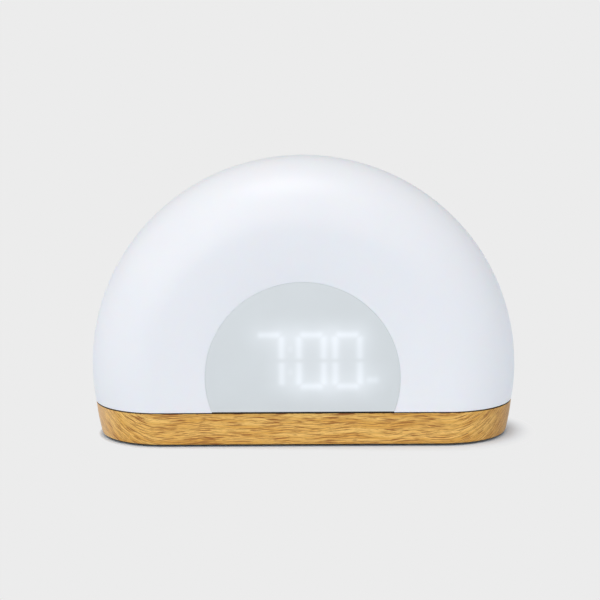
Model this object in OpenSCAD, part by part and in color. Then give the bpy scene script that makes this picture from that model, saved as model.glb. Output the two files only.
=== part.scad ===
// Sunrise alarm clock: a glowing half-round lamp with a display window, on a wood-look base.
// Millimetres. The clock faces -Y and stands on z = 0. The lamp is a round body turned about a
// horizontal axis that runs front to back. The base is a slightly smaller one with its middle
// lower, so that its ends stand steeper. Both are cut flat where the base begins and ends.

/* [Body] */
// Radius of the round outline seen from the front
body_radius = 100; // [94:1:112]
// Depth from the front face to the back face
body_depth = 60; // [56:1:70]
// Height of the outline's centre over the table
axis_height = 33.2; // [32:0.1:38]
// Wall of the two lamp shades
shade_wall = 2.2; // [1.8:0.1:3]
// Hairline between the front and rear shades
parting_gap = 0.1; // [0.05:0.05:0.3]
// Length of the lap where the rear shade enters the front shade
lap_length = 1.9; // [1.5:0.1:3]

/* [Base] */
// Height of the wood-look base
base_height = 14.9; // [14.7:0.1:18]
// How far the base's round form is smaller than the shades', all round
base_inset = 1; // [0.6:0.1:1.4]
// How far the middle of the base's round form lies below the shades' axis
base_drop = 7.3; // [0:0.1:8]
// Side wall of the base
base_wall = 2.4; // [2:0.1:3]
// Dark line between the base and the shades
seam_gap = 0.7; // [0.2:0.1:0.8]
// Thickness of the deck that carries the shades
deck_thickness = 1.6; // [1.4:0.1:2]
// How far the deck's edge stands back from the base's outside
deck_edge = 1.2; // [1:0.1:1.4]
// Height of the lip that the shades slide over
lip_height = 4; // [3:0.5:6]
// Thickness of the cover under the base
cover_thickness = 2; // [1.8:0.1:2.4]
// Height of the rubber feet below the cover
foot_height = 1; // [0.8:0.1:1.5]
// Radius of the rubber feet
foot_radius = 6; // [5:0.5:6.5]

/* [Window and display] */
// Radius of the display window and of the rear panel
window_radius = 45.4; // [45:0.1:47]
// Thickness of the window
window_thickness = 2; // [1.6:0.1:2.6]
// Gap round the window and the rear panel
window_clearance = 0.2; // [0.1:0.05:0.4]
// Height of a digit over all
digit_height = 27; // [24:0.5:28]
// Width of a digit over all
digit_width = 13.8; // [12:0.2:14.2]
// Width of one bar of a digit
bar_width = 2.4; // [1.8:0.1:3]
// Distance from one digit to the next
digit_pitch = 16.9; // [16:0.1:17.2]
// Extra distance at the colon
colon_gap = 2.7; // [2.5:0.1:3.2]
// Height of the digits' middle over the outline's centre
digit_rise = 8.3; // [7:0.1:9]
// Distance of the last digit to the right of the middle
last_digit_x = 21; // [19:0.5:22]

/* [Core] */
// Wall of the round core that carries the display and the lights
core_wall = 1.6; // [1.4:0.1:2]
// Number of lights along the core's arch
light_count = 19; // [9:2:21]
// Side of one square light
light_size = 5; // [3:0.5:5]

/* [Rear panel] */
// Thickness of the rear panel
panel_thickness = 2; // [1.8:0.1:2.4]
// How far the panel lies below the rear face
panel_recess = 1.2; // [1:0.1:1.5]
// Radius of a button cap
button_radius = 3.7; // [3:0.1:4]
// Gap round a button cap
button_clearance = 0.3; // [0.2:0.05:0.4]
// Distance from one button to the next
button_pitch = 11; // [10.5:0.1:11.2]
// Height of the buttons' middle over the deck
button_rise = 10.1; // [9.8:0.1:10.6]
// Travel of a button
button_travel = 0.5; // [0.2:0.1:0.6]
// Radius of the speaker
speaker_radius = 18; // [16:0.5:18]
// Height of the speaker's centre over the outline's centre
speaker_rise = 22; // [21:0.5:23]
// Radius of one grille hole
grille_hole_radius = 0.9; // [0.6:0.1:1]

/* [Electronics] */
// Thickness of the circuit boards
board_thickness = 1.6; // [1.2:0.1:1.8]
// Radius of the socket's opening for the power plug
socket_radius = 3.15; // [2.8:0.05:3.3]
// Radius of the socket's centre pin
pin_radius = 1; // [0.6:0.05:1.2]
// Radius of the coin cell
cell_radius = 10; // [9:0.5:10]
// Thickness of the coin cell
cell_thickness = 3.2; // [2.5:0.1:3.2]

/* [Hidden] */
$fn = 96;

eps = 0.01;
half_depth = body_depth / 2;
flat_radius = body_radius - half_depth;
big = body_radius + 20;

// Levels of the base, from the table up
base_bottom = foot_height;
base_top = base_bottom + base_height;
deck_top = base_top + seam_gap;
deck_bottom = deck_top - deck_thickness;
cover_top = base_bottom + cover_thickness;
ledge_top = cover_top + 2;

// Screws: shank, head and the clearance of a shank in its hole
screw_radius = 1.25;
screw_head_radius = 2.3;
screw_head_height = 1.4;
thread_clearance = 0.03;
hole_clearance = 0.35;
pilot_radius = screw_radius + thread_clearance;
pass_radius = screw_radius + hole_clearance;
boss_radius = 2.8;

// The shades' lap joint and the lip inside them
lap_wall = shade_wall / 2 - 0.1;
lap_clearance = 0.1;
lap_relief = 0.1;
lip_clearance = 0.3;
lip_wall = 1.6;
lip_start = window_radius + 5;
shade_boss_x = flat_radius - 8;
shade_boss_y = half_depth - shade_wall - 4.3;
shade_boss_height = 9;

// The seat round the window and the rear panel, and the core inside it
seat_width = 1.8;
seat_thickness = 1.4;
opening_radius = window_radius + window_clearance;
seat_radius = opening_radius - seat_width - window_clearance;
core_radius = seat_radius - 0.4;
core_bore = core_radius - core_wall;
window_back = -half_depth + window_thickness;
seal_thickness = 1;
core_front = window_back + seal_thickness;
panel_outside = half_depth - panel_recess;
panel_inside = panel_outside - panel_thickness;
core_rear = panel_inside;
core_foot_height = 2;
core_foot_half = 23;
core_screw_x = core_radius + 3.1;
core_screw_y = 10;
core_boss_height = 6;
core_foot_start = sqrt(pow(core_bore, 2) - pow(axis_height - deck_top, 2)) + core_wall / 2;
core_foot_end = core_screw_x + boss_radius + 0.6;

// Light strip round the core: its glue line, its thickness and how far down it reaches
strip_gap = 0.05;
strip_inside = core_radius + strip_gap;
strip_outside = strip_inside + 0.3;
strip_width = 2 * light_size;
strip_drop = 10;
light_height = 1.6;

// Display stack, from the window backwards
film_thickness = 0.3;
film_gap = 0.2;
block_front = window_back + film_thickness + film_gap;
block_thickness = 8.5;
display_board_front = block_front + block_thickness;
display_board_back = display_board_front + board_thickness;
block_radius = core_bore - 0.9;
board_radius = core_bore - 0.5;
block_half_width = block_radius - 3.5;
block_margin = 1.2;
block_low = digit_rise - digit_height / 2 - block_margin;
block_high = digit_rise + digit_height / 2 + 2 * block_margin;
board_low = deck_top - axis_height + 0.4;
low_screw_rise = boss_radius + 0.6;
bar_clearance = 0.05;
bar_gap = 0.5;
dot_radius = 1.1;
mark_x = last_digit_x + 11.5;
mark_drop = 9.4;
display_screw_places = [
    [-(core_bore - 2.6) * cos(58), (core_bore - 2.6) * sin(58)],
    [(core_bore - 2.6) * cos(58), (core_bore - 2.6) * sin(58)],
    [-(core_bore - 5.3), deck_top - axis_height + low_screw_rise],
    [core_bore - 5.3, deck_top - axis_height + low_screw_rise]];
// Middle of each digit: one extra step at the colon
digit_x = [for (i = [0:3]) last_digit_x - (3 - i) * digit_pitch - (i < 2 ? colon_gap : 0)];
// The seven bars a to g as steps from the digit's middle: across, up, angle
BARS = [[0, 1, 0], [1, 0.5, 90], [1, -0.5, 90], [0, -1, 0], [-1, -0.5, 90], [-1, 0.5, 90], [0, 0, 0]];
// Bars that each digit has, and those that are lit when it shows 7:00
BARS_FITTED = [[1, 2], [0, 1, 2, 3, 4, 5, 6], [0, 1, 2, 3, 4, 5, 6], [0, 1, 2, 3, 4, 5, 6]];
BARS_LIT = [[], [0, 1, 2], [0, 1, 2, 3, 4, 5], [0, 1, 2, 3, 4, 5]];

// Rear panel, buttons and their board
button_z = deck_top + button_rise;
button_drop = axis_height - button_z;
button_x = [for (i = [0:5]) (2.5 - i) * button_pitch];
button_tip = half_depth;
flange_radius = button_radius + 0.9;
flange_gap = 0.2;
flange_thickness = 1;
flange_rear = panel_inside - flange_gap;
flange_front = flange_rear - flange_thickness;
plunger_radius = 1.6;
stem_radius = 1.7;
stem_clearance = 0.1;
plunger_length = 1.6;
stem_tip = flange_front - plunger_length;
switch_height = 3.5;
switch_size = 6;
stem_stroke_room = 0.3;
switch_rear = stem_tip - 1.5;
stem_root = switch_rear - 1.3;
button_board_rear = switch_rear - switch_height;
button_board_front = button_board_rear - board_thickness;
button_board_half = 3 * button_pitch + 1.5;
button_board_low = deck_top - axis_height + 1.4;
button_board_high = -button_drop + 9.2;
post_radius = 2.4;
board_post_places = [
    [-(button_x[0] + 4.8), -button_drop - 6.5],
    [button_x[0] + 4.8, -button_drop - 6.5],
    [0, -button_drop + 5]];
panel_screw_places = [
    [-(core_bore - 2.3) * cos(45), (core_bore - 2.3) * sin(45)],
    [(core_bore - 2.3) * cos(45), (core_bore - 2.3) * sin(45)],
    [-(core_bore - 3.9), -button_drop - 5.5],
    [core_bore - 3.9, -button_drop - 5.5]];

// Speaker, from the panel forwards
speaker_z = axis_height + speaker_rise;
gasket_thickness = 0.8;
surround_width = 3;
frame_rear = panel_inside - gasket_thickness;
frame_flange = 0.8;
basket_depth = 8;
magnet_thickness = 6;
magnet_radius = 11;
basket_front = frame_rear - frame_flange - basket_depth;
ear_x = speaker_radius + 2.6;
ear_radius = 2.9;
grille_pitch = 3;
grille_rings = 4;
tab_x = speaker_radius - 2.5;
tab_z = speaker_z - 7.7;

// Outline of the cover, which goes in from below
cover_edge = 2.2;
cover_clearance = 0.15;
cover_half_width = half_depth - base_inset - cover_edge;
cover_half_length = sqrt(pow(body_radius - base_inset, 2) - pow(axis_height - base_drop - base_bottom, 2))
    - cover_edge - 0.8;
ledge_width = 1.8;

// Case screws beside the shade screws, and feet placed from the cover's ends and sides
case_screw_x = shade_boss_x - 6;
case_screw_y = cover_half_width - 8;
foot_x = cover_half_length - 14.5;
foot_y = cover_half_width - 13;
case_screw_places = [for (s = [-1, 1], side = [-1, 1]) [s * case_screw_x, side * case_screw_y]];
foot_places = [for (s = [-1, 1], side = [-1, 1]) [s * foot_x, side * foot_y]];
case_post_radius = 3.6;
pad_height = 1.5;
foot_recess = 0.5;
foot_clearance = 0.15;

// Coin cell under the base
cell_x = 28.5 - cover_half_length;
holder_wall = 2.1;
holder_clearance = 0.3;
holder_radius = cell_radius + holder_clearance + holder_wall;
cell_bottom = cover_top + 0.3;
cell_top = cell_bottom + cell_thickness;
spring_height = 0.9;
holder_top = cell_top + spring_height + 1.4;
door_thickness = 1;
door_clearance = 0.15;
ear_step = holder_radius + 4.1;
ear_screw_x = cell_x + ear_step;
ear_boss_radius = 3;
ear_boss_height = 4.5;

// Main board and what stands on it
board_post_height = 1.4;
main_board_bottom = cover_top + board_post_height;
main_board_top = main_board_bottom + board_thickness;
main_board_left = ear_screw_x + ear_boss_radius + 4.5;
main_board_right = case_screw_x - case_post_radius - 6.5;
main_board_front = 8 - cover_half_width;
main_board_rear = cover_half_width - 3;
main_post_places = [for (x = [main_board_left + 4, main_board_right - 4], y = [main_board_front + 4, 15]) [x, y]];
light_plug_x = main_board_left + 8;
inlet_width = 9;
inlet_depth = 14.2;
inlet_height = deck_bottom - main_board_top - 0.3;
inlet_z = main_board_top + inlet_height / 2 + 0.4;
inlet_face = half_depth - base_inset - base_wall - 0.2;
inlet_hole_radius = socket_radius + 1;
connector_height = 5;
ribbon_thickness = 0.8;
wire_radius = 0.6;

// Openings in the deck for cables
front_slot = [16, 7];
rear_slot = [18, 6];
plug_half = 2.5;
front_slot_y = -10;
rear_slot_y = inlet_face - inlet_depth - plug_half - 1.4;
light_wire_x = -(core_radius + 3.2);
light_wire_hole = 2.8;

// Half of the round body's cross-section, set in from its outside: a flat face and a round rim
module half_section(inset) {
    translate([0, inset - half_depth])
        square([flat_radius, 2 * (half_depth - inset)]);
    translate([flat_radius, 0])
        circle(half_depth - inset);
}

// Turns an outline about the front-to-back axis: across is the distance from the axis, up is
// the distance towards the front, or towards the rear where side is 1
module turned(side = -1) {
    translate([0, 0, axis_height])
        rotate([-90 * side, 0, 0])
            rotate_extrude()
                children();
}

// The round body, set in from its outside
module round_body(inset) {
    turned()
        half_section(inset);
}

// The round form of the base, set in from its outside
module base_body(inset) {
    translate([0, 0, -base_drop])
        round_body(base_inset + inset);
}

// Everything between two levels
module slab(z0, z1) {
    translate([-big, -big, z0])
        cube([2 * big, 2 * big, z1 - z0]);
}

// A flat outline (across, height over the axis) made solid from y0 back to y1
module plate(y0, y1) {
    translate([0, y1, axis_height])
        rotate([90, 0, 0])
            linear_extrude(y1 - y0)
                children();
}

// A round bar along Y, with x and the height over the axis of its middle
module bar_along_y(place, r, y0, y1) {
    translate([place[0], y1, axis_height + place[1]])
        rotate([90, 0, 0])
            cylinder(r = r, h = y1 - y0);
}

// A box from its lowest to its highest corner
module box(low, high) {
    translate(low)
        cube(high - low);
}

// The part of an outline above the deck
module above_deck(clearance = 0) {
    intersection() {
        children();
        translate([-big, deck_top - axis_height + clearance])
            square([2 * big, 2 * big]);
    }
}

// A flat outline with straight sides and round ends
module stadium(half_length, half_width) {
    square([2 * (half_length - half_width), 2 * half_width], center = true);
    for (side = [-1, 1])
        translate([side * (half_length - half_width), 0])
            circle(half_width);
}

// Pan-head screw with a cross recess: the head's seat is at z = 0 and the shank points up
module screw(length) {
    difference() {
        union() {
            translate([0, 0, -screw_head_height])
                cylinder(r = screw_head_radius, h = screw_head_height);
            cylinder(r = screw_radius, h = length);
        }
        for (turn = [0, 90])
            rotate(turn)
                translate([-1.3, -0.3, -screw_head_height - eps])
                    cube([2.6, 0.6, 0.8]);
    }
}

// Screws that point up, back (+Y) and forwards (-Y)
module screws_up(places, z, length) {
    for (p = places)
        translate([p[0], p[1], z])
            screw(length);
}

module screws_back(places, y, length) {
    for (p = places)
        translate([p[0], y, axis_height + p[1]])
            rotate([-90, 0, 0])
                screw(length);
}

module screws_forwards(places, y, length) {
    for (p = places)
        translate([p[0], y, axis_height + p[1]])
            rotate([90, 0, 0])
                screw(length);
}

// ---- Shades ----

// Cross-section of the seat ring round an opening whose plate lies from the face inwards
module seat_section(plate_inside) {
    translate([seat_radius, plate_inside - seat_thickness])
        square([seat_width + window_clearance + 1.6, half_depth - eps - plate_inside + seat_thickness]);
}

// Room for the round plate in its opening
module opening_section(plate_inside) {
    translate([0, plate_inside])
        square([opening_radius, half_depth]);
    square([seat_radius, half_depth + 1]);
}

// One boss that a screw enters from the deck, tied to the shade's flat wall
module shade_boss(x, side) {
    y = side * shade_boss_y;
    translate([x, y, deck_top])
        cylinder(r = boss_radius, h = shade_boss_height);
    translate([x - 1.2, side > 0 ? y : -half_depth + shade_wall - 0.5, deck_top])
        cube([2.4, half_depth - shade_wall + 0.5 - shade_boss_y, shade_boss_height]);
}

// The lap: a thin ring along the inside of the rim, between two depths into the wall, from one
// distance before the parting line to another behind it
module lap_section(depth_inside, depth_outside, low, high) {
    intersection() {
        difference() {
            translate([flat_radius, 0])
                circle(half_depth - shade_wall + depth_outside);
            translate([flat_radius, 0])
                circle(half_depth - shade_wall + depth_inside);
        }
        translate([flat_radius, low])
            square([big, high - low]);
    }
}

// Cross-section of one shade: the rear one has a tongue that enters the front one
module shade_section(side, plate_inside) {
    difference() {
        union() {
            intersection() {
                difference() {
                    half_section(0);
                    half_section(shade_wall);
                }
                translate([0, parting_gap / 2])
                    square([big, big]);
            }
            seat_section(plate_inside);
            if (side > 0)
                lap_section(lap_relief, lap_wall, -lap_length, 1);
        }
        opening_section(plate_inside);
        if (side < 0)
            lap_section(-1, lap_wall + lap_clearance, -1, lap_length + lap_clearance);
    }
}

// Half of the lamp's skin; side is -1 for the front half and 1 for the rear half
module half_shade(side, plate_inside) {
    difference() {
        union() {
            intersection() {
                turned(side)
                    shade_section(side, plate_inside);
                slab(deck_top, axis_height + big);
            }
            for (s = [-1, 1])
                shade_boss(s * shade_boss_x, side);
        }
        for (s = [-1, 1])
            translate([s * shade_boss_x, side * shade_boss_y, deck_top - eps])
                cylinder(r = pilot_radius, h = shade_boss_height - 1);
    }
}

module front_shade() {
    color("#eef1f6")
        half_shade(-1, -window_back);
}

module rear_shade() {
    color("#eef1f6")
        half_shade(1, panel_inside);
}

module window() {
    color("#cfd7db")
        plate(-half_depth, window_back)
            above_deck(0.1)
                circle(window_radius);
}

module light_seal() {
    color("#2b2b2b")
        plate(window_back, core_front)
            above_deck(0.1)
                difference() {
                    circle(core_radius);
                    circle(core_bore);
                }
}

module diffuser_film() {
    color("#e8ecef")
        plate(window_back, window_back + film_thickness)
            above_deck(0.5)
                circle(core_bore - 0.3);
}

// ---- Base ----

module base_shell() {
    color("#d09b55")
        difference() {
            intersection() {
                base_body(0);
                slab(base_bottom, base_top);
            }
            intersection() {
                base_body(base_wall);
                slab(ledge_top, deck_bottom + eps);
            }
            intersection() {
                base_body(deck_edge - 0.1);
                slab(deck_bottom, base_top + 1);
            }
            translate([0, 0, base_bottom - 1])
                linear_extrude(ledge_top - base_bottom + 1 + eps)
                    stadium(cover_half_length - ledge_width, cover_half_width - ledge_width);
            translate([0, 0, base_bottom - 1])
                linear_extrude(cover_thickness + 1)
                    stadium(cover_half_length + cover_clearance, cover_half_width + cover_clearance);
            bar_along_y([0, inlet_z - axis_height], inlet_hole_radius, inlet_face - 1, half_depth + 1);
        }
}

// Lip round both ends that locates the shades, cut away at the shades' bosses
module deck_lip() {
    difference() {
        intersection() {
            round_body(shade_wall + lip_clearance);
            slab(deck_top - eps, deck_top + lip_height);
        }
        round_body(shade_wall + lip_clearance + lip_wall);
        box([-lip_start, -big, 0], [lip_start, big, axis_height + big]);
        for (s = [-1, 1], side = [-1, 1])
            translate([s * shade_boss_x - boss_radius - 0.5, side > 0 ? 0 : -half_depth, deck_top - eps])
                cube([2 * boss_radius + 1, half_depth, lip_height + 1]);
    }
}

module base_deck() {
    color("#3a3029")
        difference() {
            union() {
                intersection() {
                    base_body(deck_edge);
                    slab(deck_bottom, deck_top);
                }
                deck_lip();
                for (p = case_screw_places)
                    translate([p[0], p[1], cover_top + pad_height])
                        cylinder(r = case_post_radius, h = deck_bottom - cover_top - pad_height + eps);
            }
            for (p = case_screw_places)
                translate([p[0], p[1], cover_top])
                    cylinder(r = pilot_radius, h = deck_bottom - cover_top - 1);
            for (s = [-1, 1], side = [-1, 1]) {
                translate([s * shade_boss_x, side * shade_boss_y, deck_bottom - 1])
                    cylinder(r = pass_radius, h = deck_thickness + 2);
                translate([s * core_screw_x, side * core_screw_y, deck_bottom - 1])
                    cylinder(r = pass_radius, h = deck_thickness + 2);
            }
            translate([-front_slot[0] / 2, front_slot_y - front_slot[1] / 2, deck_bottom - 1])
                cube([front_slot[0], front_slot[1], deck_thickness + 2]);
            translate([-rear_slot[0] / 2, rear_slot_y - rear_slot[1] / 2, deck_bottom - 1])
                cube([rear_slot[0], rear_slot[1], deck_thickness + 2]);
            translate([light_wire_x, 0, deck_bottom - 1])
                cylinder(r = light_wire_hole, h = deck_thickness + 2);
        }
}

// Outline of the coin cell's door: a disc with an ear for its screw
module door_outline(clearance) {
    circle(holder_radius - 0.4 + clearance);
    translate([0, -3.6 - clearance])
        square([ear_step, 7.2 + 2 * clearance]);
    translate([ear_step, 0])
        circle(3.6 + clearance);
}

module bottom_cover() {
    color("#4a4038")
        difference() {
            union() {
                translate([0, 0, base_bottom])
                    linear_extrude(cover_thickness)
                        stadium(cover_half_length, cover_half_width);
                for (p = case_screw_places)
                    translate([p[0], p[1], cover_top - eps])
                        cylinder(r = case_post_radius + 0.6, h = pad_height + eps);
                for (p = main_post_places)
                    translate([p[0], p[1], cover_top - eps])
                        cylinder(r = boss_radius, h = board_post_height + eps);
                translate([ear_screw_x, 0, cover_top - eps])
                    cylinder(r = ear_boss_radius, h = ear_boss_height + eps);
            }
            for (p = case_screw_places)
                translate([p[0], p[1], base_bottom - 1]) {
                    cylinder(r = screw_head_radius + 0.3, h = cover_thickness + 1);
                    cylinder(r = pass_radius, h = cover_thickness + pad_height + 2);
                }
            for (p = main_post_places)
                translate([p[0], p[1], base_bottom + 0.6])
                    cylinder(r = pilot_radius, h = cover_thickness + board_post_height);
            for (p = foot_places)
                translate([p[0], p[1], base_bottom - 1])
                    cylinder(r = foot_radius + foot_clearance, h = 1 + foot_recess);
            translate([cell_x, 0, base_bottom - 1]) {
                linear_extrude(1 + door_thickness)
                    door_outline(door_clearance);
                cylinder(r = cell_radius + holder_clearance, h = cover_thickness + 2);
                translate([ear_step, 0, 0])
                    cylinder(r = pilot_radius, h = cover_thickness + 1 + 4);
            }
        }
}

module feet() {
    color("#26262a")
        for (p = foot_places)
            translate([p[0], p[1], 0])
                cylinder(r = foot_radius, h = base_bottom + foot_recess);
}

module case_screws() {
    color("#8f9296")
        screws_up(case_screw_places, cover_top, pad_height + 7);
}

module shade_screws() {
    color("#8f9296")
        screws_up([for (s = [-1, 1], side = [-1, 1]) [s * shade_boss_x, side * shade_boss_y]],
            deck_bottom, deck_thickness + shade_boss_height - 2);
}

module core_screws() {
    color("#8f9296")
        screws_up([for (s = [-1, 1], side = [-1, 1]) [s * core_screw_x, side * core_screw_y]],
            deck_bottom, deck_thickness + core_boss_height - 1.2);
}

// ---- Core ----

module core_housing() {
    color("#dfe3e6")
        difference() {
            union() {
                plate(core_front, core_rear)
                    above_deck()
                        difference() {
                            circle(core_radius);
                            circle(core_bore);
                        }
                // Feet on both sides, with bosses for the screws from the deck
                for (s = [-1, 1]) {
                    box([s > 0 ? core_foot_start : -core_foot_end, -core_foot_half, deck_top],
                        [s > 0 ? core_foot_end : -core_foot_start, core_foot_half, deck_top + core_foot_height]);
                    for (side = [-1, 1])
                        translate([s * core_screw_x, side * core_screw_y, deck_top])
                            cylinder(r = boss_radius, h = core_boss_height);
                }
                // Bosses for the display board's screws
                for (p = display_screw_places) {
                    bar_along_y(p, boss_radius, display_board_back, display_board_back + 8);
                    if (p[1] < 0)
                        box([p[0] > 0 ? p[0] : -core_bore + 1, display_board_back, axis_height + p[1] - 1.2],
                            [p[0] > 0 ? core_bore - 1 : p[0], display_board_back + 8, axis_height + p[1] + 1.2]);
                }
                // Bosses for the rear panel's screws
                for (p = panel_screw_places) {
                    bar_along_y(p, boss_radius, core_rear - 10, core_rear);
                    if (p[1] < 0)
                        box([p[0] > 0 ? p[0] : -core_bore, core_rear - 10, axis_height + p[1] - 1.2],
                            [p[0] > 0 ? core_bore : p[0], core_rear, axis_height + p[1] + 1.2]);
                }
            }
            for (s = [-1, 1], side = [-1, 1])
                translate([s * core_screw_x, side * core_screw_y, deck_top - 1])
                    cylinder(r = pilot_radius, h = core_boss_height);
            for (p = display_screw_places)
                bar_along_y(p, pilot_radius, display_board_back - 1, display_board_back + 7);
            for (p = panel_screw_places)
                bar_along_y(p, pilot_radius, core_rear - 9, core_rear + 1);
            translate([light_wire_x, 0, deck_top - 1])
                cylinder(r = light_wire_hole, h = core_foot_height + 2);
        }
}

module light_strip() {
    color("#f4f4ee")
        plate(-strip_width / 2, strip_width / 2)
            intersection() {
                difference() {
                    circle(strip_outside);
                    circle(strip_inside);
                }
                translate([-big, -strip_drop])
                    square([2 * big, 2 * big]);
            }
}

module lights() {
    color("#fbf6dc")
        for (i = [0:light_count - 1])
            translate([0, 0, axis_height])
                rotate([0, -180 * i / (light_count - 1), 0])
                    translate([strip_outside, -light_size / 2, -light_size / 2])
                        cube([light_height, light_size, light_size]);
}

// ---- Display ----

// One bar with pointed ends, along the x axis
module bar_outline(length, width) {
    tip = length / 2;
    side = width / 2;
    polygon([[-tip, 0], [-tip + side, side], [tip - side, side],
        [tip, 0], [tip - side, -side], [-tip + side, -side]]);
}

// The bars of one digit out of a list of bar numbers
module digit_bars(bars, grow) {
    across = (digit_width - bar_width) / 2;
    up = (digit_height - bar_width) / 2;
    for (b = bars)
        translate([BARS[b][0] * across, BARS[b][1] * up])
            rotate(BARS[b][2])
                bar_outline((BARS[b][2] == 0 ? 2 * across : up) - bar_gap + 2 * grow, bar_width + 2 * grow);
}

// The bars of all four digits
module all_digits(table, grow) {
    for (i = [0:3])
        translate([digit_x[i], digit_rise])
            digit_bars(table[i], grow);
}

// The mark beside the last digit that is lit in the afternoon
module afternoon_mark(grow) {
    translate([mark_x, digit_rise - mark_drop])
        square([5 + 2 * grow, 1.6 + 2 * grow], center = true);
}

module colon_dots(grow) {
    for (up = [-1, 1])
        translate([(digit_x[1] + digit_x[2]) / 2, digit_rise + up * digit_height / 5])
            circle(dot_radius + grow);
}

module digit_block() {
    color("#b9bfc3")
        plate(block_front, display_board_front)
            difference() {
                intersection() {
                    circle(block_radius);
                    translate([-block_half_width, block_low])
                        square([2 * block_half_width, block_high - block_low]);
                }
                all_digits(BARS_FITTED, bar_clearance);
                afternoon_mark(bar_clearance);
                colon_dots(bar_clearance);
            }
}

module lit_bars() {
    color("#f4fbff")
        plate(block_front, display_board_front) {
            all_digits(BARS_LIT, 0);
            afternoon_mark(0);
            colon_dots(0);
        }
}

module dark_bars() {
    color("#c9cfd2")
        plate(block_front, display_board_front)
            for (i = [0:3])
                translate([digit_x[i], digit_rise])
                    digit_bars([for (b = BARS_FITTED[i]) if (len(search(b, BARS_LIT[i])) == 0) b], 0);
}

module display_board() {
    color("#2f5d3a")
        difference() {
            plate(display_board_front, display_board_back)
                intersection() {
                    circle(board_radius);
                    translate([-big, board_low])
                        square([2 * big, 2 * big]);
                }
            for (p = display_screw_places)
                bar_along_y(p, pass_radius, display_board_front - 1, display_board_back + 1);
        }
}

module display_screws() {
    color("#8f9296")
        screws_back(display_screw_places, display_board_front, board_thickness + 6);
}

// Flat cable from the main board up through the deck to the display board
module display_ribbon() {
    y0 = front_slot_y - ribbon_thickness / 2;
    y1 = front_slot_y + ribbon_thickness / 2;
    top = axis_height;
    color("#d8d8d0")
        union() {
            box([-6, y0, main_board_top + connector_height], [6, y1, top]);
            box([-6, display_board_back + connector_height, top - ribbon_thickness], [6, y1, top]);
        }
}

// ---- Rear panel and buttons ----

module rear_panel() {
    color("#e6eaee")
        difference() {
            union() {
                plate(panel_inside, panel_outside)
                    above_deck(0.1)
                        circle(window_radius);
                for (p = board_post_places)
                    bar_along_y(p, post_radius, button_board_rear, panel_inside + eps);
                for (s = [-1, 1])
                    bar_along_y([s * ear_x, speaker_rise], ear_radius - 0.4, frame_rear, panel_inside + eps);
            }
            for (x = button_x)
                bar_along_y([x, -button_drop], button_radius + button_clearance, 0, half_depth + 1);
            for (p = panel_screw_places) {
                bar_along_y(p, pass_radius, 0, half_depth + 1);
                bar_along_y(p, screw_head_radius + 0.3, panel_outside - 1, half_depth + 1);
            }
            for (p = board_post_places)
                bar_along_y(p, pilot_radius, 0, panel_inside - 0.5);
            for (s = [-1, 1])
                bar_along_y([s * ear_x, speaker_rise], pilot_radius, 0, panel_inside + 1.2);
            // Sound holes in rings round one in the middle
            bar_along_y([0, speaker_rise], grille_hole_radius, 0, half_depth + 1);
            for (ring = [1:grille_rings], i = [0:6 * ring - 1])
                bar_along_y([ring * grille_pitch * cos(60 * i / ring),
                    speaker_rise + ring * grille_pitch * sin(60 * i / ring)],
                    grille_hole_radius, 0, half_depth + 1);
        }
}

module panel_screws() {
    color("#8f9296")
        screws_forwards(panel_screw_places, panel_outside - 1, panel_thickness + 7);
}

// A cap with a soft dish, the flange that keeps it behind the panel, and its plunger
module button(i) {
    color("#f1f3f5")
        translate([button_x[i], 0, button_z])
            rotate([90, 0, 0])
                rotate_extrude()
                    difference() {
                        union() {
                            translate([0, -button_tip])
                                square([button_radius, button_tip - flange_front]);
                            translate([0, -flange_rear])
                                square([flange_radius, flange_thickness]);
                            translate([0, -flange_front - eps])
                                square([plunger_radius, plunger_length + eps]);
                        }
                        translate([0, -button_tip - 24.7])
                            circle(25);
                    }
}

module switch_stem(i) {
    color("#2b2b2b")
        bar_along_y([button_x[i], -button_drop], stem_radius, stem_root, stem_tip);
}

module switch_bodies() {
    color("#3d4043")
        difference() {
            for (x = button_x)
                box([x - switch_size / 2, button_board_rear, button_z - switch_size / 2],
                    [x + switch_size / 2, switch_rear, button_z + switch_size / 2]);
            for (x = button_x)
                bar_along_y([x, -button_drop], stem_radius + stem_clearance,
                    stem_root - button_travel - stem_stroke_room, switch_rear + 1);
        }
}

module button_board() {
    color("#2f5d3a")
        difference() {
            plate(button_board_front, button_board_rear)
                translate([-button_board_half, button_board_low])
                    square([2 * button_board_half, button_board_high - button_board_low]);
            for (p = board_post_places)
                bar_along_y(p, pass_radius, button_board_front - 1, button_board_rear + 1);
        }
}

module board_screws() {
    color("#8f9296")
        screws_back(board_post_places, button_board_front, board_thickness + 5);
}

module button_ribbon() {
    y0 = rear_slot_y - ribbon_thickness / 2;
    y1 = rear_slot_y + ribbon_thickness / 2;
    top = button_z;
    color("#d8d8d0")
        union() {
            box([-5, y0, main_board_top + connector_height], [5, y1, top]);
            box([-5, y0, top - ribbon_thickness], [5, button_board_front - connector_height + 2, top]);
        }
}

// ---- Speaker ----

// Turns an outline about the speaker's own axis: up is the distance towards the front
module speaker_turned() {
    translate([0, 0, speaker_z])
        rotate([90, 0, 0])
            rotate_extrude()
                children();
}

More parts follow.
